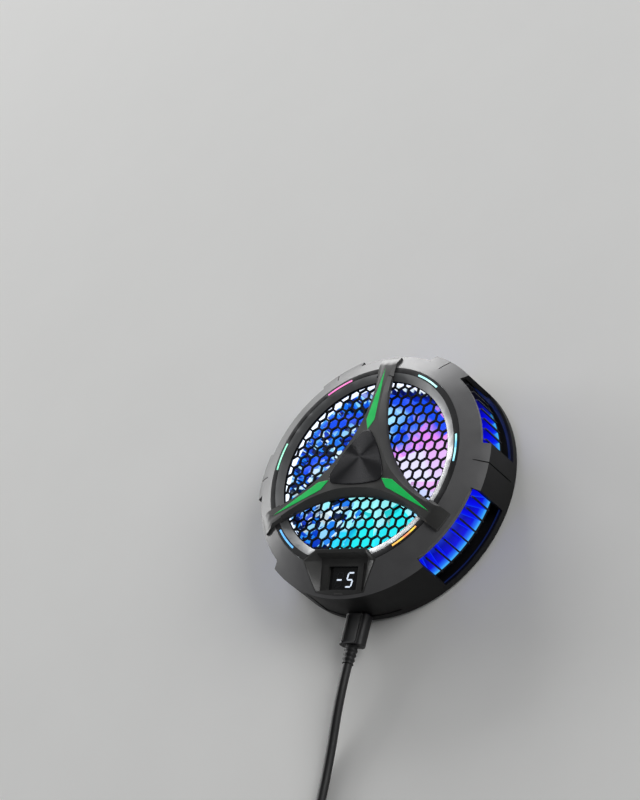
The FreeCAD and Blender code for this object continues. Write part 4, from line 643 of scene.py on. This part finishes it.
print(len(PAINTED_LIGHT_BELOW) + len(PAINTED_LIGHT_ON_BLADES) + len(PAINTED_SPLINTER_LIGHT), "tints of light")

# %% Fins in coloured light
fin_metal_painted_light, tree, shader = finish("sheared_aluminium_painted_light", 0.42, Specular_IOR_Level=0.3)
place = add_node(tree, "ShaderNodeTexCoord", {}).outputs["Object"]
scratch = add_node(tree, "ShaderNodeTexNoise", {"Vector": place, "Scale": 1 / (0.8 * MM), "Detail": 3.0})
tint = add_node(tree, "ShaderNodeValToRGB", {0: scratch.outputs["Fac"]},
                stops=((0.3, "#0c0d12"), (0.7, "#16181f")))
tree.links.new(tint.outputs["Color"], shader.inputs["Base Color"])
height, share, radius = polar(tree)
# Painted light in three zones one after the other on the way out: low fins, the collar round the mesh, tall
# fins.
in_collar = slide(tree, radius, 40.2 * MM, 40.8 * MM)
past_collar = slide(tree, radius, 43 * MM, 46 * MM)
inside = add_node(tree, "ShaderNodeValToRGB", {0: scattered(tree, place, share, 4.0, 0.05)},
                  stops=PAINTED_LIGHT_BELOW).outputs["Color"]
# The collar's painted light: deep blue low down and a painted white highlight at its top.
collar = add_node(tree, "ShaderNodeValToRGB", {0: slide(tree, height, 9 * MM, 22 * MM)}, stops=(
    (0.0, "#0a28c0"), (0.40, "#04083c"), (0.62, "#0a1860"),
    (0.70, "#d8f0ff"), (1.0, "#ffffff"))).outputs["Color"]
# Painted blue light on the floor under the fins, paler outwards, and on the tall fins, paler low down.
floor_out = add_node(tree, "ShaderNodeValToRGB", {0: slide(tree, radius, 46 * MM, 55 * MM)}, stops=(
    (0.0, "#0000a8"), (0.55, "#0404dc"), (0.8, "#1a6cf4"), (1.0, "#46bcf8"))).outputs["Color"]
fin_out = add_node(tree, "ShaderNodeValToRGB", {0: slide(tree, height, 9 * MM, 21 * MM)}, stops=(
    (0.0, "#1450f0"), (0.2, "#0410e4"), (0.6, "#0202d8"), (1.0, "#0000a0"))).outputs["Color"]
up_a_fin = slide(tree, height, 9.5 * MM, 9.8 * MM)
outside = blend(tree, up_a_fin, floor_out, fin_out)
glow = blend(tree, past_collar, blend(tree, in_collar, inside, collar), outside)
near_the_ends = slide(tree, radius, 50.5 * MM, 52 * MM)
glow = blend(tree, near_the_ends, splinter(tree, place, share, 3.4, glow), outside)
tree.links.new(glow, shader.inputs["Emission Color"])

# %% Where the painted light falls
# The painted light is kept off the fins' outer ends and their base; past the collar it shows only
# where a window is open, and not at the far end of the upper right one.
off_the_ends = slide(tree, radius, 55.0 * MM, 54.8 * MM)
above_the_base = slide(tree, height, 9.2 * MM, 9.35 * MM)
windows = add_node(tree, "ShaderNodeValToRGB", {0: share}, stops=(
    (0.165, "#ffffff"), (0.175, "#000000"), (0.325, "#000000"), (0.335, "#ffffff"), (0.585, "#ffffff"),
    (0.605, "#000000"), (0.66, "#000000"), (0.68, "#ffffff"))).outputs["Color"]
windows = blend(tree, past_collar, linear("#ffffff"), windows)
lit = both(tree, both(tree, off_the_ends, above_the_base), windows)
tree.links.new(lit, shader.inputs["Emission Strength"])
dress("heat_sink", fin_metal_painted_light)
print("fins lit")

# %% [markdown]
# ## The fan
# The fan is moulded from clear plastic with a dash of smoke in it, so the coloured light
# comes through its blades and lights them too. The blades are thin, so part of the shader
# lets light through, and the rest is painted light in the colours of the side where the blade
# stands, broken up on the left as clear plastic breaks light.

# %% The fan
smoky, tree, shader = finish("smoky_polycarbonate_painted_light", 0.22, IOR=1.45, Transmission_Weight=0.45,
                             Emission_Strength=0.85)
place = mottle(tree, shader, 7.0, "#26325c", "#303e70", 0.18, 0.26)
_, share, radius = polar(tree)
blades = add_node(tree, "ShaderNodeValToRGB", {0: scattered(tree, place, share, 3.2, 0.05)},
                  stops=PAINTED_LIGHT_ON_BLADES).outputs["Color"]
blades = splinter(tree, place, share, 2.6, blades)
# Three patches of painted light, each with the shares of a turn and the radii over which it comes:
# pale next to the hub on two sides, and deep blue at the far right.
PAINTED_LIGHT_PATCHES = ((0.585, 0.56, 28.5, 25.0, "#f4eeff"),
           (0.43, 0.41, 28.5, 25.0, "#9cf6f2"),
           (0.575, 0.605, 30.5, 34.0, "#1450f0"))
for first, last, near, far, tint in PAINTED_LIGHT_PATCHES:
    light_patch = both(tree, slide(tree, share, first, last), slide(tree, radius, near * MM, far * MM))
    blades = blend(tree, light_patch, blades, linear(tint))
tree.links.new(blades, shader.inputs["Emission Color"])
dress("fan_rotor", smoky)
print("fan smoky, with", len(PAINTED_LIGHT_PATCHES), "patches of light")

# %% [markdown]
# ## Metals
# Steel, copper, brass and nickel lie inside and below. Each keeps the reflection of its
# own metal, and faint marks show how it was made: drawn, wound, turned or plated.

# %% Metals


def metal(name, low, high, rough_low, rough_high, size=3.0, depth=0.004):
    """Bare or plated metal with faint clouds and marks."""
    material, tree, shader = finish(name, rough_low, 1.0)
    place = mottle(tree, shader, size, low, high, rough_low, rough_high)
    grain(tree, shader, place, 0.5, depth)
    return material


steel = metal("rolled_steel", "#8f9092", "#a3a4a6", 0.30, 0.42)
nickel = metal("nickel_plate", "#b9b4aa", "#c9c5bc", 0.14, 0.22)
copper = metal("enamelled_copper", "#b0603a", "#c97747", 0.26, 0.36, size=0.8, depth=0.03)
brass = metal("sintered_brass", "#b08d4c", "#c4a25e", 0.34, 0.44)
plug_steel = metal("nickel_plated_steel", "#aeb0b3", "#bfc1c4", 0.16, 0.24)

# %% The cold face
cold_metal, tree, shader = finish("turned_aluminium", 0.30, 1.0, Anisotropic=0.6, Anisotropic_Rotation=0.25)
place = mottle(tree, shader, 8.0, "#c2c3c5", "#cfd0d2", 0.26, 0.34)
turned_on_a_lathe(tree, shader, place, pitch=0.6, wander=0.0, depth=0.01, strength=0.4)
print("cold face turned")

# %% [markdown]
# ## Inner plastics, ceramic and boards
# What lies inside is seen only when the cooler is taken apart, but it gets its true
# finish too: white alumina, green epoxy glass, black moulded chips and a grey bismuth alloy.
# The fan's base and the lamp board also carry painted light.

# %% Inner plastics, ceramic and boards
alumina = moulded("white_alumina", "#e4e2dc", "#efede8", 0.40, 0.50, size=0.3)
bismuth = moulded("bismuth_telluride", "#5a5b5e", "#6b6c70", 0.36, 0.46, size=0.3)
epoxy = moulded("green_epoxy_board", "#0f3d26", "#16502f", 0.26, 0.34, size=0.8)
# Within 42 mm of the axis, next to the lamps, the board carries painted white light.
led_board_painted_light, tree, shader = finish("white_masked_board_painted_light", 0.4, Emission_Color=linear("#f4faff"))
mottle(tree, shader, 3.0, "#e2e6ea", "#eef1f4", 0.36, 0.44)
_, _, radius = polar(tree)
tree.links.new(slide(tree, radius, 43 * MM, 42 * MM), shader.inputs["Emission Strength"])
chip = moulded("black_epoxy", "#131315", "#1c1c1f", 0.34, 0.44, size=0.3)
# The fan's base carries painted light in the colours painted below the fan.
fan_base_painted_light, tree, shader = finish("black_pbt_painted_light", 0.44, Emission_Strength=0.7)
mottle(tree, shader, 9.0, "#141416", "#1b1b1e", 0.40, 0.48)
_, share, _ = polar(tree)
tint = add_node(tree, "ShaderNodeValToRGB", {0: share}, stops=PAINTED_LIGHT_BELOW)
tree.links.new(tint.outputs["Color"], shader.inputs["Emission Color"])
ferrite = moulded("bonded_ferrite", "#2a2624", "#35302d", 0.46, 0.56, size=0.4, depth=0.02)
lamp, tree, shader = finish("lamp_resin", 0.30, Emission_Color=linear("#7fb2ff"), Emission_Strength=1.2)
mottle(tree, shader, 1.0, "#e8ece4", "#f4f6ee", 0.26, 0.34)
for node, material in {
        "cold_plate": cold_metal, "magnets": nickel, "magnet_yoke": steel, "tec_cold_ceramic": alumina,
        "tec_hot_ceramic": alumina, "tec_pellets": bismuth, "fan_base": fan_base_painted_light, "fan_bearing": brass,
        "stator_core": steel, "stator_windings": copper, "rotor_magnet": ferrite, "rotor_yoke": steel,
        "fan_shaft": steel, "led_board": led_board_painted_light, "board_leds": lamp, "display_board": epoxy,
        "main_board": epoxy, "usb_socket": plug_steel, "board_parts": chip,
        "usb_plug_shell": plug_steel}.items():
    dress(node, material)
print("inner parts finished")

# %% [markdown]
# ## Rubber and foam
# The ring on the contact side is soft silicone, cast with a rounded lip and shallow grooves
# that let it grip. They could be cut out of a finished ring; here one circle is drawn
# inwards in steps that rise and fall. The foam that seals the cold element is cut from a
# sheet, and keeps its cells.

# %% The soft contact ring
PAD_RADIUS, PAD_HOLE = 55.6, 33.0
GROOVES_AT, GROOVE_DEPTH, GROOVE_WALL, GROOVE_WIDTH = (54.2, 46.6, 38.2), 0.25, 0.2, 1.2
silicone = moulded("black_silicone", "#101011", "#161618", 0.55, 0.66, size=0.5, depth=0.01)
_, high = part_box("contact_pad")
outer, thick = high.x, high.z
bpy.ops.object.select_all(action="DESELECT")
bpy.ops.mesh.primitive_circle_add(vertices=160, radius=outer, fill_type="NOTHING", location=(0, 0, thick))
ring = take(bpy.context.object)
bpy.ops.object.transform_apply(location=True, rotation=True, scale=True)
bpy.ops.object.mode_set(mode="EDIT")
bpy.ops.mesh.select_all(action="SELECT")
steps_in = [(PAD_RADIUS, 0.0)]
for start in GROOVES_AT:
    end = start - GROOVE_WIDTH
    steps_in += [(start, 0.0), (start - GROOVE_WALL, GROOVE_DEPTH)]
    steps_in += [(end + GROOVE_WALL, GROOVE_DEPTH), (end, 0.0)]
steps_in.append((PAD_HOLE, 0.0))
bpy.ops.mesh.extrude_region_move(TRANSFORM_OT_translate={"value": (0, 0, -thick)})
for (reach, rise), (before, was) in zip(steps_in[1:], steps_in):
    bpy.ops.mesh.extrude_region_move(TRANSFORM_OT_translate={"value": (0, 0, (rise - was) * MM)})
    bpy.ops.transform.resize(value=(reach / before, reach / before, 1), center_override=(0, 0, 0))
bpy.ops.mesh.extrude_region_move(TRANSFORM_OT_translate={"value": (0, 0, thick)})
pick("edges", lambda edge: edge.is_boundary)
bpy.ops.mesh.bridge_edge_loops()
bpy.ops.mesh.select_all(action="SELECT")
bpy.ops.mesh.normals_make_consistent(inside=False)
bpy.ops.object.mode_set(mode="OBJECT")
soften(ring, 0.14, limit=40)
keep(ring, "silicone_ring", silicone, "contact_pad")

# %% The foam seal
foam, tree, shader = finish("cellular_foam", 0.85)
place = mottle(tree, shader, 2.0, "#1b1b1c", "#262628", 0.80, 0.92)
cells = add_node(tree, "ShaderNodeTexVoronoi", {"Vector": place, "Scale": 1 / (0.7 * MM)})
relief(tree, shader, cells.outputs["Distance"], 0.12, 0.8)
seal = copy_of("tec_seal")
soften(seal, 0.25)
keep(seal, "foam_seal", foam, "tec_seal")

# %% [markdown]
# ## The light seals
# The shell and the wall round the socket meet in a fine seam on each side, and the fins
# behind it are lit. The seam could be closed in the plastic; a strip of foam stuck behind
# it stops the light as well and leaves the two mouldings their clearance.

# %% The light seals
SEAM_AT = 19.2
STRIP_RADIUS, STRIP_HEIGHT, STRIP_SIZE = 55.85, 14.9, (0.4, 2.2, 10.2)
for number, degrees in enumerate((-90 - SEAM_AT, -90 + SEAM_AT), 1):
    angle = math.radians(degrees)
    middle = Vector((STRIP_RADIUS * math.cos(angle), STRIP_RADIUS * math.sin(angle), STRIP_HEIGHT))
    strip = block(middle * MM, STRIP_SIZE, angle)
    soften(strip, 0.15, segments=1)
    keep(strip, f"light_seal_{number}", foam, like="tec_seal")

# %% [markdown]
# ## The case screws
# Six cross-head screws hold the tray to the shell. One is modelled from a turned head and
# shank, its cross is cut with two crossed bars, and it is copied into the other five seats.

# %% The case screws
SCREW_CIRCLE, SCREWS = 53.4, 6
SHANK_RADIUS, HEAD_TO_SHANK, HEAD_TAPER, HEAD_WALL = 0.95, 2, 0.5, 0.7
HEAD_ROUND, HEAD_FACE = 0.3, 0.82
CROSS_SIZE = (2.2, 0.5, 1.3)
low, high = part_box("case_screws")
head_low, shank_top = low.z, high.z
shank_low = head_low + HEAD_TAPER * MM
bpy.ops.object.select_all(action="DESELECT")
bpy.ops.mesh.primitive_cylinder_add(vertices=32, radius=SHANK_RADIUS * MM, depth=shank_top - shank_low,
                                    location=(0, 0, (shank_top + shank_low) / 2))
screw = take(bpy.context.object)
bpy.ops.object.transform_apply(location=True, rotation=True, scale=True)
bpy.ops.object.mode_set(mode="EDIT")
pick("faces", lambda face: face.normal.z < -0.9)
bpy.ops.transform.resize(value=(HEAD_TO_SHANK, HEAD_TO_SHANK, 1), center_override=(0, 0, shank_low))
bpy.ops.transform.translate(value=(0, 0, HEAD_TAPER * MM))
bpy.ops.mesh.extrude_region_move(TRANSFORM_OT_translate={"value": (0, 0, -HEAD_WALL * MM)})
bpy.ops.mesh.extrude_region_move(TRANSFORM_OT_translate={"value": (0, 0, -HEAD_ROUND * MM)})
bpy.ops.transform.resize(value=(HEAD_FACE, HEAD_FACE, 1), center_override=(0, 0, head_low))
bpy.ops.object.mode_set(mode="OBJECT")
for turned in (0, math.pi / 2):
    cut(screw, (0, 0, head_low), CROSS_SIZE, turned)
soften(screw, 0.05, segments=1, limit=40)

# %% Five more screws
for number in range(1, SCREWS):
    other = screw.copy()
    other.data = screw.data.copy()
    bpy.context.scene.collection.objects.link(other)
    turn_to = math.tau * number / SCREWS
    other.location = (SCREW_CIRCLE * MM * math.cos(turn_to), SCREW_CIRCLE * MM * math.sin(turn_to), 0)
    keep(other, f"case_screw_{number + 1}", steel, like="case_screws")
screw.location = (SCREW_CIRCLE * MM, 0, 0)
keep(screw, "case_screw_1", steel, "case_screws")

# %% [markdown]
# ## Wires inside
# Two round wires feed the cold element, a flat lead runs to the fan and a ribbon to the
# display. The sleeves are soft PVC, and their copies are bevelled like the shells.

# %% Wires inside
red_sleeve = moulded("red_pvc_sleeve", "#8c1f1b", "#a02a24", 0.36, 0.46)
white_ribbon = moulded("white_pet_ribbon", "#d6d4cc", "#e4e2da", 0.34, 0.44, size=0.9)
for node, name, material, width in (("tec_leads", "element_wires", red_sleeve, 0.1),
                                    ("fan_lead", "flat_fan_lead", white_ribbon, 0.15),
                                    ("display_ribbon", "ribbon", white_ribbon, 0.1)):
    wire = copy_of(node)
    soften(wire, width)
    keep(wire, name, material, node)

# %% [markdown]
# ## Plugs
# The grip of a plug is soft black PVC, moulded over its metal shell. It starts as a block
# of its size; its long edges are rounded far in, and its ends only a little. A shallow
# field on each flat side gives the fingers a hold.

# %% The lead's finishes
jacket = moulded("black_pvc", "#131314", "#1a1a1c", 0.46, 0.56, size=0.6, depth=0.01)
tongue_plastic = moulded("white_pbt", "#dedcd6", "#e9e7e1", 0.36, 0.44)
contact_gold = metal("gold_plate", "#c9a24a", "#d8b45c", 0.20, 0.28)
lead.data.materials.append(jacket)

# %% The small plug's grip


def plug_grip(node, name, corner, steps, margin, slope, sunk, rounding):
    """A grip as large as its solid; its corners, sunk field and rounding are in millimetres."""
    low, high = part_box(node)
    grip = block((high + low) / 2, (high - low) / MM)
    bpy.ops.object.transform_apply(location=True, rotation=True, scale=True)
    bpy.ops.object.mode_set(mode="EDIT")
    pick("edges", lambda edge: runs_along(edge, 1))
    bpy.ops.mesh.bevel(offset=corner * MM, segments=steps, affect="EDGES")
    pick("faces", lambda face: abs(face.normal.z) > 0.99)
    bpy.ops.mesh.inset(thickness=margin * MM, use_individual=True)
    bpy.ops.mesh.inset(thickness=slope * MM, depth=-sunk * MM, use_individual=True)
    bpy.ops.object.mode_set(mode="OBJECT")
    soften(grip, rounding, segments=3, limit=50)
    keep(grip, name, jacket, node)


plug_grip("usb_plug_body", "small_plug_grip", corner=2.7, steps=8, margin=0.9, slope=0.25, sunk=0.18,
          rounding=0.35)

# %% [markdown]
# ## Strain reliefs
# Where a lead leaves its plug, a ribbed sleeve spreads the bend so that the copper
# doesn't break. It is one circle, extruded again and again: each rib is a wide step and
# each groove a narrow one, and the whole narrows towards the cable.

# %% Strain reliefs
GROOVE_IN = 0.9
LONG_STEP, SHORT_STEP = 1.6, 0.4


def ribbed_sleeve(start, wide, tall, end, long, ribs, toward):
    """A sleeve along Y that narrows from an oval to a circle, with ribs across it."""
    bpy.ops.object.select_all(action="DESELECT")
    bpy.ops.mesh.primitive_circle_add(vertices=40, radius=0.5 * MM, fill_type="NGON", location=start * MM,
                                      rotation=(math.radians(90), 0, 0))
    sleeve = take(bpy.context.object)
    bpy.ops.object.transform_apply(location=True, rotation=True, scale=True)
    bpy.ops.object.mode_set(mode="EDIT")
    bpy.ops.mesh.select_all(action="SELECT")
    now = Vector((wide, 1, tall))
    bpy.ops.transform.resize(value=(wide, 1, tall), center_override=start * MM)
    count = 4 * ribs
    for step in range(1, count + 1):
        share = step / count
        girth = Vector((wide + (end - wide) * share, 1, tall + (end - tall) * share))
        if step % 4 in (2, 3) and step < count:
            girth = Vector((girth.x - GROOVE_IN, 1, girth.z - GROOVE_IN))
        run = long / count * (LONG_STEP if step % 2 == 0 else SHORT_STEP)
        bpy.ops.mesh.extrude_region_move(TRANSFORM_OT_translate={"value": (0, toward * run * MM, 0)})
        bpy.ops.transform.resize(value=(girth.x / now.x, 1, girth.z / now.z), center_override=start * MM)
        now = girth
    bpy.ops.mesh.select_all(action="SELECT")
    bpy.ops.mesh.normals_make_consistent(inside=False)
    bpy.ops.object.mode_set(mode="OBJECT")
    soften(sleeve, 0.12, limit=35)
    return sleeve


small_sleeve = ribbed_sleeve(Vector((0, -72, PLUG_HEIGHT)), wide=6.4, tall=5.0, end=5.0,
                             long=8.0, ribs=4, toward=-1)
keep(small_sleeve, "small_plug_sleeve", jacket, "strain_relief")
far_sleeve = ribbed_sleeve(Vector((FAR_PLUG_X, -238, FAR_PLUG_HEIGHT)), wide=6.4, tall=5.8, end=5.0,
                           long=12.0, ribs=6, toward=1)
keep(far_sleeve, "far_plug_sleeve", jacket, "far_relief")

# %% [markdown]
# ## The far plug
# The far plug's shell is bent from nickel-plated sheet, with two square windows on each
# side that catch in the socket. Inside lies a white tongue with four gilt contacts. The
# windows are cut right through the shell by two blocks, as a punch would do it.

# %% The far plug
WINDOW_APART, WINDOW_FROM_END, WINDOW_SIZE = 2.6, 6.6, (2.2, 2.2, 12)
plug_grip("far_plug_body", "far_plug_grip", corner=1.6, steps=5, margin=1.4, slope=0.3, sunk=0.25,
          rounding=0.4)
far_shell = copy_of("far_plug_shell")
low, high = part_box("far_plug_shell")
middle = (low + high) / 2
for side in (-1, 1):
    cut(far_shell, (middle.x + side * WINDOW_APART * MM, low.y + WINDOW_FROM_END * MM, middle.z), WINDOW_SIZE)
soften(far_shell, 0.06, segments=1, limit=40)
keep(far_shell, "far_plug_metal", plug_steel, "far_plug_shell")

# %% The far plug's tongue
TONGUE_SIZE, TONGUE_IN, TONGUE_UNDER = (11.2, 11.0, 1.9), 0.9, 1.35
CONTACT_SIZE, CONTACT_OUT, CONTACT_UNDER = (1.0, 8.0, 0.2), 0.2, 2.35
CONTACTS_AT = (-3.5, -1.0, 1.0, 3.5)
tongue = block((middle.x, middle.y + TONGUE_IN * MM, high.z - TONGUE_UNDER * MM), TONGUE_SIZE)
soften(tongue, 0.15)
keep(tongue, "far_plug_tongue", tongue_plastic, like="far_plug_shell")
for number, aside in enumerate(CONTACTS_AT, 1):
    place = (middle.x + aside * MM, middle.y - CONTACT_OUT * MM, high.z - CONTACT_UNDER * MM)
    contact = block(place, CONTACT_SIZE)
    soften(contact, 0.06, segments=1)
    keep(contact, f"far_plug_contact_{number}", contact_gold, like="far_plug_shell")

# %% [markdown]
# ## The tie
# A strap of woven nylon with a hook face holds the coil. It is a copy of its solid with
# the corners rounded well, as a strap bends round a bundle, and a weave in its bump.

# %% The tie
WEAVE, STRAP_CORNER, CORNER_WITHIN = 0.8, 1.6, 0.05
woven, tree, shader = finish("woven_nylon_strap", 0.75)
place = mottle(tree, shader, 3.0, "#19191b", "#232326", 0.70, 0.82)
threads = {"Vector": place, "Scale": WAVE / (WEAVE * MM)}
weft = add_node(tree, "ShaderNodeTexWave", threads, bands_direction="X").outputs["Fac"]
warp = add_node(tree, "ShaderNodeTexWave", threads, bands_direction="Y").outputs["Fac"]
relief(tree, shader, both(tree, weft, warp), 0.1, 0.8)
tie = copy_of("cable_tie")
bpy.ops.object.mode_set(mode="EDIT")
low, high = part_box("cable_tie")


def outer_corner(edge):
    """One of the four corners outside the strap."""
    mid = (edge.verts[0].co + edge.verts[1].co) / 2
    at_y = min(abs(mid.y - low.y), abs(mid.y - high.y)) < CORNER_WITHIN * MM
    at_z = min(abs(mid.z - low.z), abs(mid.z - high.z)) < CORNER_WITHIN * MM
    return runs_along(edge, 0) and at_y and at_z


print(pick("edges", outer_corner), "corners rounded")
bpy.ops.mesh.bevel(offset=STRAP_CORNER * MM, segments=5, affect="EDGES")
bpy.ops.object.mode_set(mode="OBJECT")
soften(tie, 0.12, limit=50)
keep(tie, "coil_strap", woven, "cable_tie")

# %% [markdown]
# ## The lead

# %% The lead
print("the lead is a fixed curve")

# %% [markdown]
# ## Table and light
# The cooler stands on a plain pale table. A wide soft lamp stands low behind it, a smaller
# one low at the left and a large, dimmer one higher up at the right. The room is brightest
# low down on the first two lamps' side: satin plastic shines where it mirrors that side,
# and the flat tops mirror the dim ceiling and stay dark. One lamp overhead would be
# simpler, and would turn the dark covers grey.

# %% The table
# A hair under the contact face, so that the two don't share a plane.
JUST_BELOW = -0.05 * MM
bpy.ops.object.select_all(action="DESELECT")
bpy.ops.mesh.primitive_plane_add(size=8.0, location=(0, 0, JUST_BELOW))
table = take(bpy.context.object)
table.name = "table"
table_top, tree, shader = finish("matt_table", 0.85)
mottle(tree, shader, 60.0, "#f0f0ee", "#f3f3f1", 0.82, 0.88)
table.data.materials.append(table_top)
table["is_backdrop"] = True
print("table", round(table.dimensions.x, 1), "m wide")

# %% Three lamps
LAMP_DISTANCE = 2.8


def soft_lamp(name, toward, wide, high, power):
    """A soft lamp that faces the cooler."""
    data = bpy.data.lights.new(name, "AREA")
    data.shape = "RECTANGLE"
    data.size, data.size_y, data.energy = wide, high, power
    lamp_object = bpy.data.objects.new(name, data)
    bpy.context.scene.collection.objects.link(lamp_object)
    toward = Vector(toward).normalized()
    lamp_object.location = toward * LAMP_DISTANCE
    lamp_object.rotation_euler = toward.to_track_quat("Z", "Y").to_euler()
    print(name, wide, "by", high, "m,", power, "W")


soft_lamp("key_lamp", toward=(-0.54, 0.82, 0.20), wide=1.7, high=1.0, power=58.0)
soft_lamp("side_lamp", toward=(-0.95, 0.27, 0.18), wide=1.3, high=0.6, power=32.0)
soft_lamp("fill_lamp", toward=(0.78, 0.39, 0.50), wide=1.8, high=1.8, power=36.0)

# %% The room
TOWARD_THE_LAMPS = (-0.66, 0.75, 0.0)
AWAY_FROM_THE_LAMPS, CEILING = 0.40, 0.14
world = bpy.data.worlds.new("room")
bpy.context.scene.world = world
world.use_nodes = True
tree = world.node_tree
toward = add_node(tree, "ShaderNodeTexCoord", {}).outputs["Generated"]
side = add_node(tree, "ShaderNodeVectorMath", {0: toward, 1: TOWARD_THE_LAMPS}, operation="DOT_PRODUCT")
bright_side = add_node(tree, "ShaderNodeMapRange", {
    "Value": side.outputs["Value"], "From Min": -0.6, "From Max": 0.9,
    "To Min": AWAY_FROM_THE_LAMPS, "To Max": 1.0})
height = add_node(tree, "ShaderNodeSeparateXYZ", {0: toward}).outputs["Z"]
low_down = add_node(tree, "ShaderNodeMapRange", {
    "Value": height, "From Min": 0.10, "From Max": 0.70, "To Min": 1.0, "To Max": CEILING})
backdrop = tree.nodes["Background"]
backdrop.inputs["Color"].default_value = linear("#f2f3f5")
level = both(tree, bright_side.outputs["Result"], low_down.outputs["Result"])
tree.links.new(level, backdrop.inputs["Strength"])
print("room brightest on the side of the lamps")

# %% [markdown]
# ## Measuring up
# The dressed cooler must be no larger than its solids. Both boxes are kept side by side,
# so that a piece that grew too far is found at once.

# %% Measuring up
dressed_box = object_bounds()
for title, (lowest, highest) in (("solids", solid_box), ("dressed", dressed_box)):
    print(title, [round((b - a) / MM, 2) for a, b in zip(lowest, highest)], "mm")
